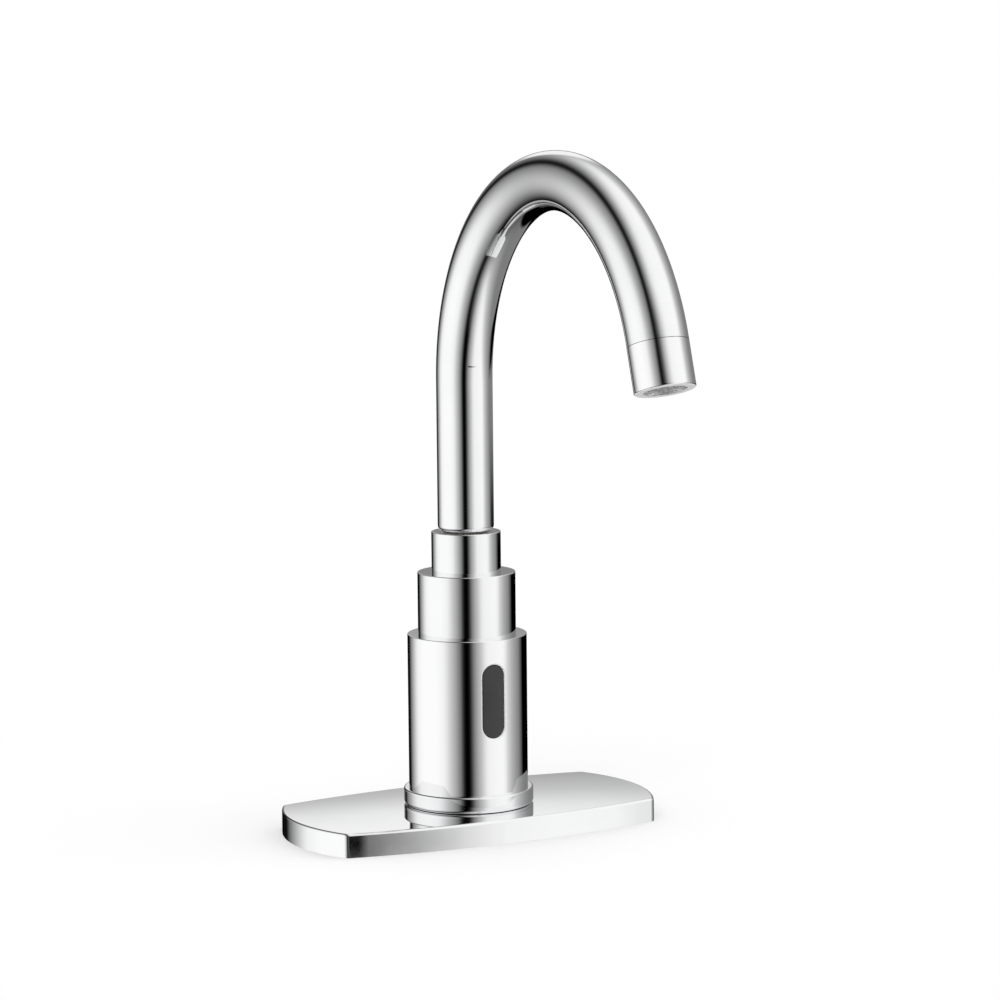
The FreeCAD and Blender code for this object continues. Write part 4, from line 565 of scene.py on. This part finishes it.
# %% Walls
gap = shades(bearing(*SOFTBOX), (0, 250), (20, 246), (31, 239), (37, 231), (43, 212), (49, 192), (55, 167), (61, 132),
             (64, 117), (67, 82), (70, 42), (73, 9), (76, 2), (79, 3), (82, 24), (85, 64), (88, 101), (91, 130),
             (94, 148), (97, 167), (100, 178), (106, 204), (112, 229), (118, 239), (180, 246))
slit = shades(bearing(*SOFTBOX), (0, 250), (16, 250), (31, 241), (37, 226), (43, 202), (49, 176), (55, 152),
              (61, 130), (66, 86), (69, 42), (72, 22), (75, 38), (78, 76), (84, 132), (90, 174), (96, 206),
              (102, 229), (108, 239), (120, 245), (180, 250))
panel = blended(gap, slit, ramp(bearing(*WIDE_GAP), (24, 0), (62, 1)))
doorway = ramp(bearing(*DOOR), (0, 0.22), (30, 0.22), (36, 0.25), (45, 0.34), (54, 0.456), (64, 0.66), (69, 0.85),
               (74, 0.96), (80, 1))
walls = blended(panel, doorway, 1.0, "MULTIPLY")
skirting = ramp(UP, (95.5, 0), (97.2, 1), (105, 1), (107.5, 0)) * ramp(bearing(*SKIRTING), (35, 1), (50, 0))
for share in (skirting, *(ramp(bearing(*patch), (11, 1), (14, 0)) for patch in DARK_PATCHES)):
    walls = blended(walls, BLACK, share)
blind = ramp(bearing(*BLIND), (8.2, 0.91), (9.3, 0.86), (9.9, 0.78), (10.3, 0.67), (10.65, 0.57), (11, 0.44),
             (11.7, 0.35), (14, 0))
walls = blended(walls, WHITE, blind)
print(len(studio.tree.nodes), "nodes in the studio's walls")

# %% [markdown]
# The plate's walls are 10 mm high and upright, so the camera sees in them one thin strip of the room, just below what
# the body mirrors. That strip is black at the plate's front left corner and grey from there to its middle. The
# plate's right end is further away, so the strip climbs to the right. It is laid over the rings by bearing and rise.

# %% Strip
FIRST, LAST = 14.0, 52.0
LEFT_END, RIGHT_END = 26.0, 52.0
LEFT_TOP, RIGHT_TOP, HEIGHT = 102.45, 102.3, 0.75
STRIP = ((14, 2), (28.6, 2), (29.4, 108), (31, 122), (33.2, 135), (35.6, 153), (38, 170), (40.4, 183),
         (42.9, 195), (45.3, 214), (50.1, 235), (52, 238))
compass = studio.node("Mapping", {}, {"Vector": ray, "Rotation": (0, 0, np.pi / 2 - CAMERA_TURN)})
around = studio.node("TexGradient", {"gradient_type": "RADIAL"}, {0: compass}, out="Fac")


def along(first, last, **ends):
    """How far a ray's bearing is on the way from one bearing to another, in degrees."""
    return studio.node("MapRange", {}, {
        "Value": around, "From Min": first / 360 + 0.5, "From Max": last / 360 + 0.5, **ends})


greys = [((angle - FIRST) / (LAST - FIRST), glow(level)) for angle, level in STRIP]
front = studio.node("ValToRGB", {"stops": greys}, {"Fac": along(FIRST, LAST)})
above = away(UP) - along(LEFT_END, RIGHT_END, **{"To Min": LEFT_TOP / 180, "To Max": RIGHT_TOP / 180})
inside = above.maths("GREATER_THAN", above, 0.0) * above.maths("LESS_THAN", above, HEIGHT / 180)
inside = inside * around.maths("GREATER_THAN", around, FIRST / 360 + 0.5)
walls = blended(walls, front, inside * around.maths("LESS_THAN", around, LAST / 360 + 0.5))

# %% Shown
DULL_LEVEL = 0.85
mirror = studio.node("LightPath", out="Is Glossy Ray")
seen = studio.node("LightPath", out="Is Camera Ray")
shown = blended(blended((DULL_LEVEL,) * 3 + (1,), WHITE, seen), walls, mirror)
studio.node("OutputWorld", {}, {"Surface": studio.node("Background", {}, {"Color": shown})})


# %% [markdown]
# ## The deck
# The tap stands on a pale worktop that isn't part of it. The worktop has the tap's hole, and it fades into the white
# of the studio with distance. It is 3 mm thick, the thinnest that the nut can clamp, so the nut is never inside it.

# %% Deck
FADE = (0.06, 0.3)
WORKTOP = (0.97, 0.97, 0.97, 1)


def deck(radius=6.0, middle=FADE[1], hole=17.5 * MM, thickness=3 * MM, around=128):
    """A flat ring: the hole's wall, the upper face out to the rim, and the lower face back, as rows of circles."""
    rows = np.array([(hole, -thickness), (hole, 0), (middle, 0),
                     (radius, 0), (radius, -thickness), (middle, -thickness)])
    turn = np.linspace(0, 2 * np.pi, around, endpoint=False)
    points = np.stack([rows[:, :1] * np.cos(turn), rows[:, :1] * np.sin(turn),
                       np.broadcast_to(rows[:, 1:], (len(rows), around))], -1).reshape(-1, 3)
    row, column = np.meshgrid(np.arange(len(rows)), np.arange(around), indexing="ij")
    after, beside = (row + 1) % len(rows), (column + 1) % around
    faces = np.stack([row * around + column, after * around + column, after * around + beside,
                      row * around + beside], -1).reshape(-1, 4)
    mesh = bpy.data.meshes.new("deck")
    mesh.from_pydata(points.tolist(), [], faces[:, ::-1].tolist())
    slab = bpy.data.objects.new("deck", mesh)
    bpy.context.scene.collection.objects.link(slab)
    print("deck", len(faces), "faces")
    return slab


slab = deck()
pale = bpy.data.materials.new("worktop")
top = Graph(pale)
spot = top.node("TexCoord", out="Object")
reach = top.node("VectorMath", {"operation": "LENGTH"}, {0: spot}, out="Value")
fade = top.node("MapRange", {}, {"Value": reach, "From Min": FADE[0], "From Max": FADE[1]})
matt = top.node("BsdfDiffuse", {}, {"Color": WORKTOP})
white = top.node("Emission", {}, {"Color": WHITE})
seen = top.node("LightPath", out="Is Camera Ray")
top.node("OutputMaterial", {}, {"Surface": top.node("MixShader", {}, {0: fade * seen, 1: matt, 2: white})})
slab.data.materials.append(pale)
slab.visible_glossy = False


# %% [markdown]
# ## The lamps
# Even light alone leaves brass, rubber and plastic flat. Two square lamps, a strong one at the left and a weak one at
# the right, give them a bright side and a dark one. Mirror rays don't see the lamps, because the chrome has its room.

# %% Lamps
def lamp(name, spot, size, watts):
    """A square soft light that looks at the tap's middle and isn't mirrored."""
    light = bpy.data.lights.new(name, "AREA")
    light.size, light.energy = size, watts
    held = bpy.data.objects.new(name, light)
    held.location = spot
    held.rotation_euler = (AIM - Vector(spot)).to_track_quat("-Z", "Y").to_euler()
    held.visible_glossy = False
    held.visible_camera = False
    bpy.context.scene.collection.objects.link(held)
    print(name, "lamp,", watts, "W")


lamp("key", spot=(-1.2, -1.4, 1.8), size=1.6, watts=14)
lamp("fill", spot=(1.6, -0.6, 1.4), size=1.6, watts=7)
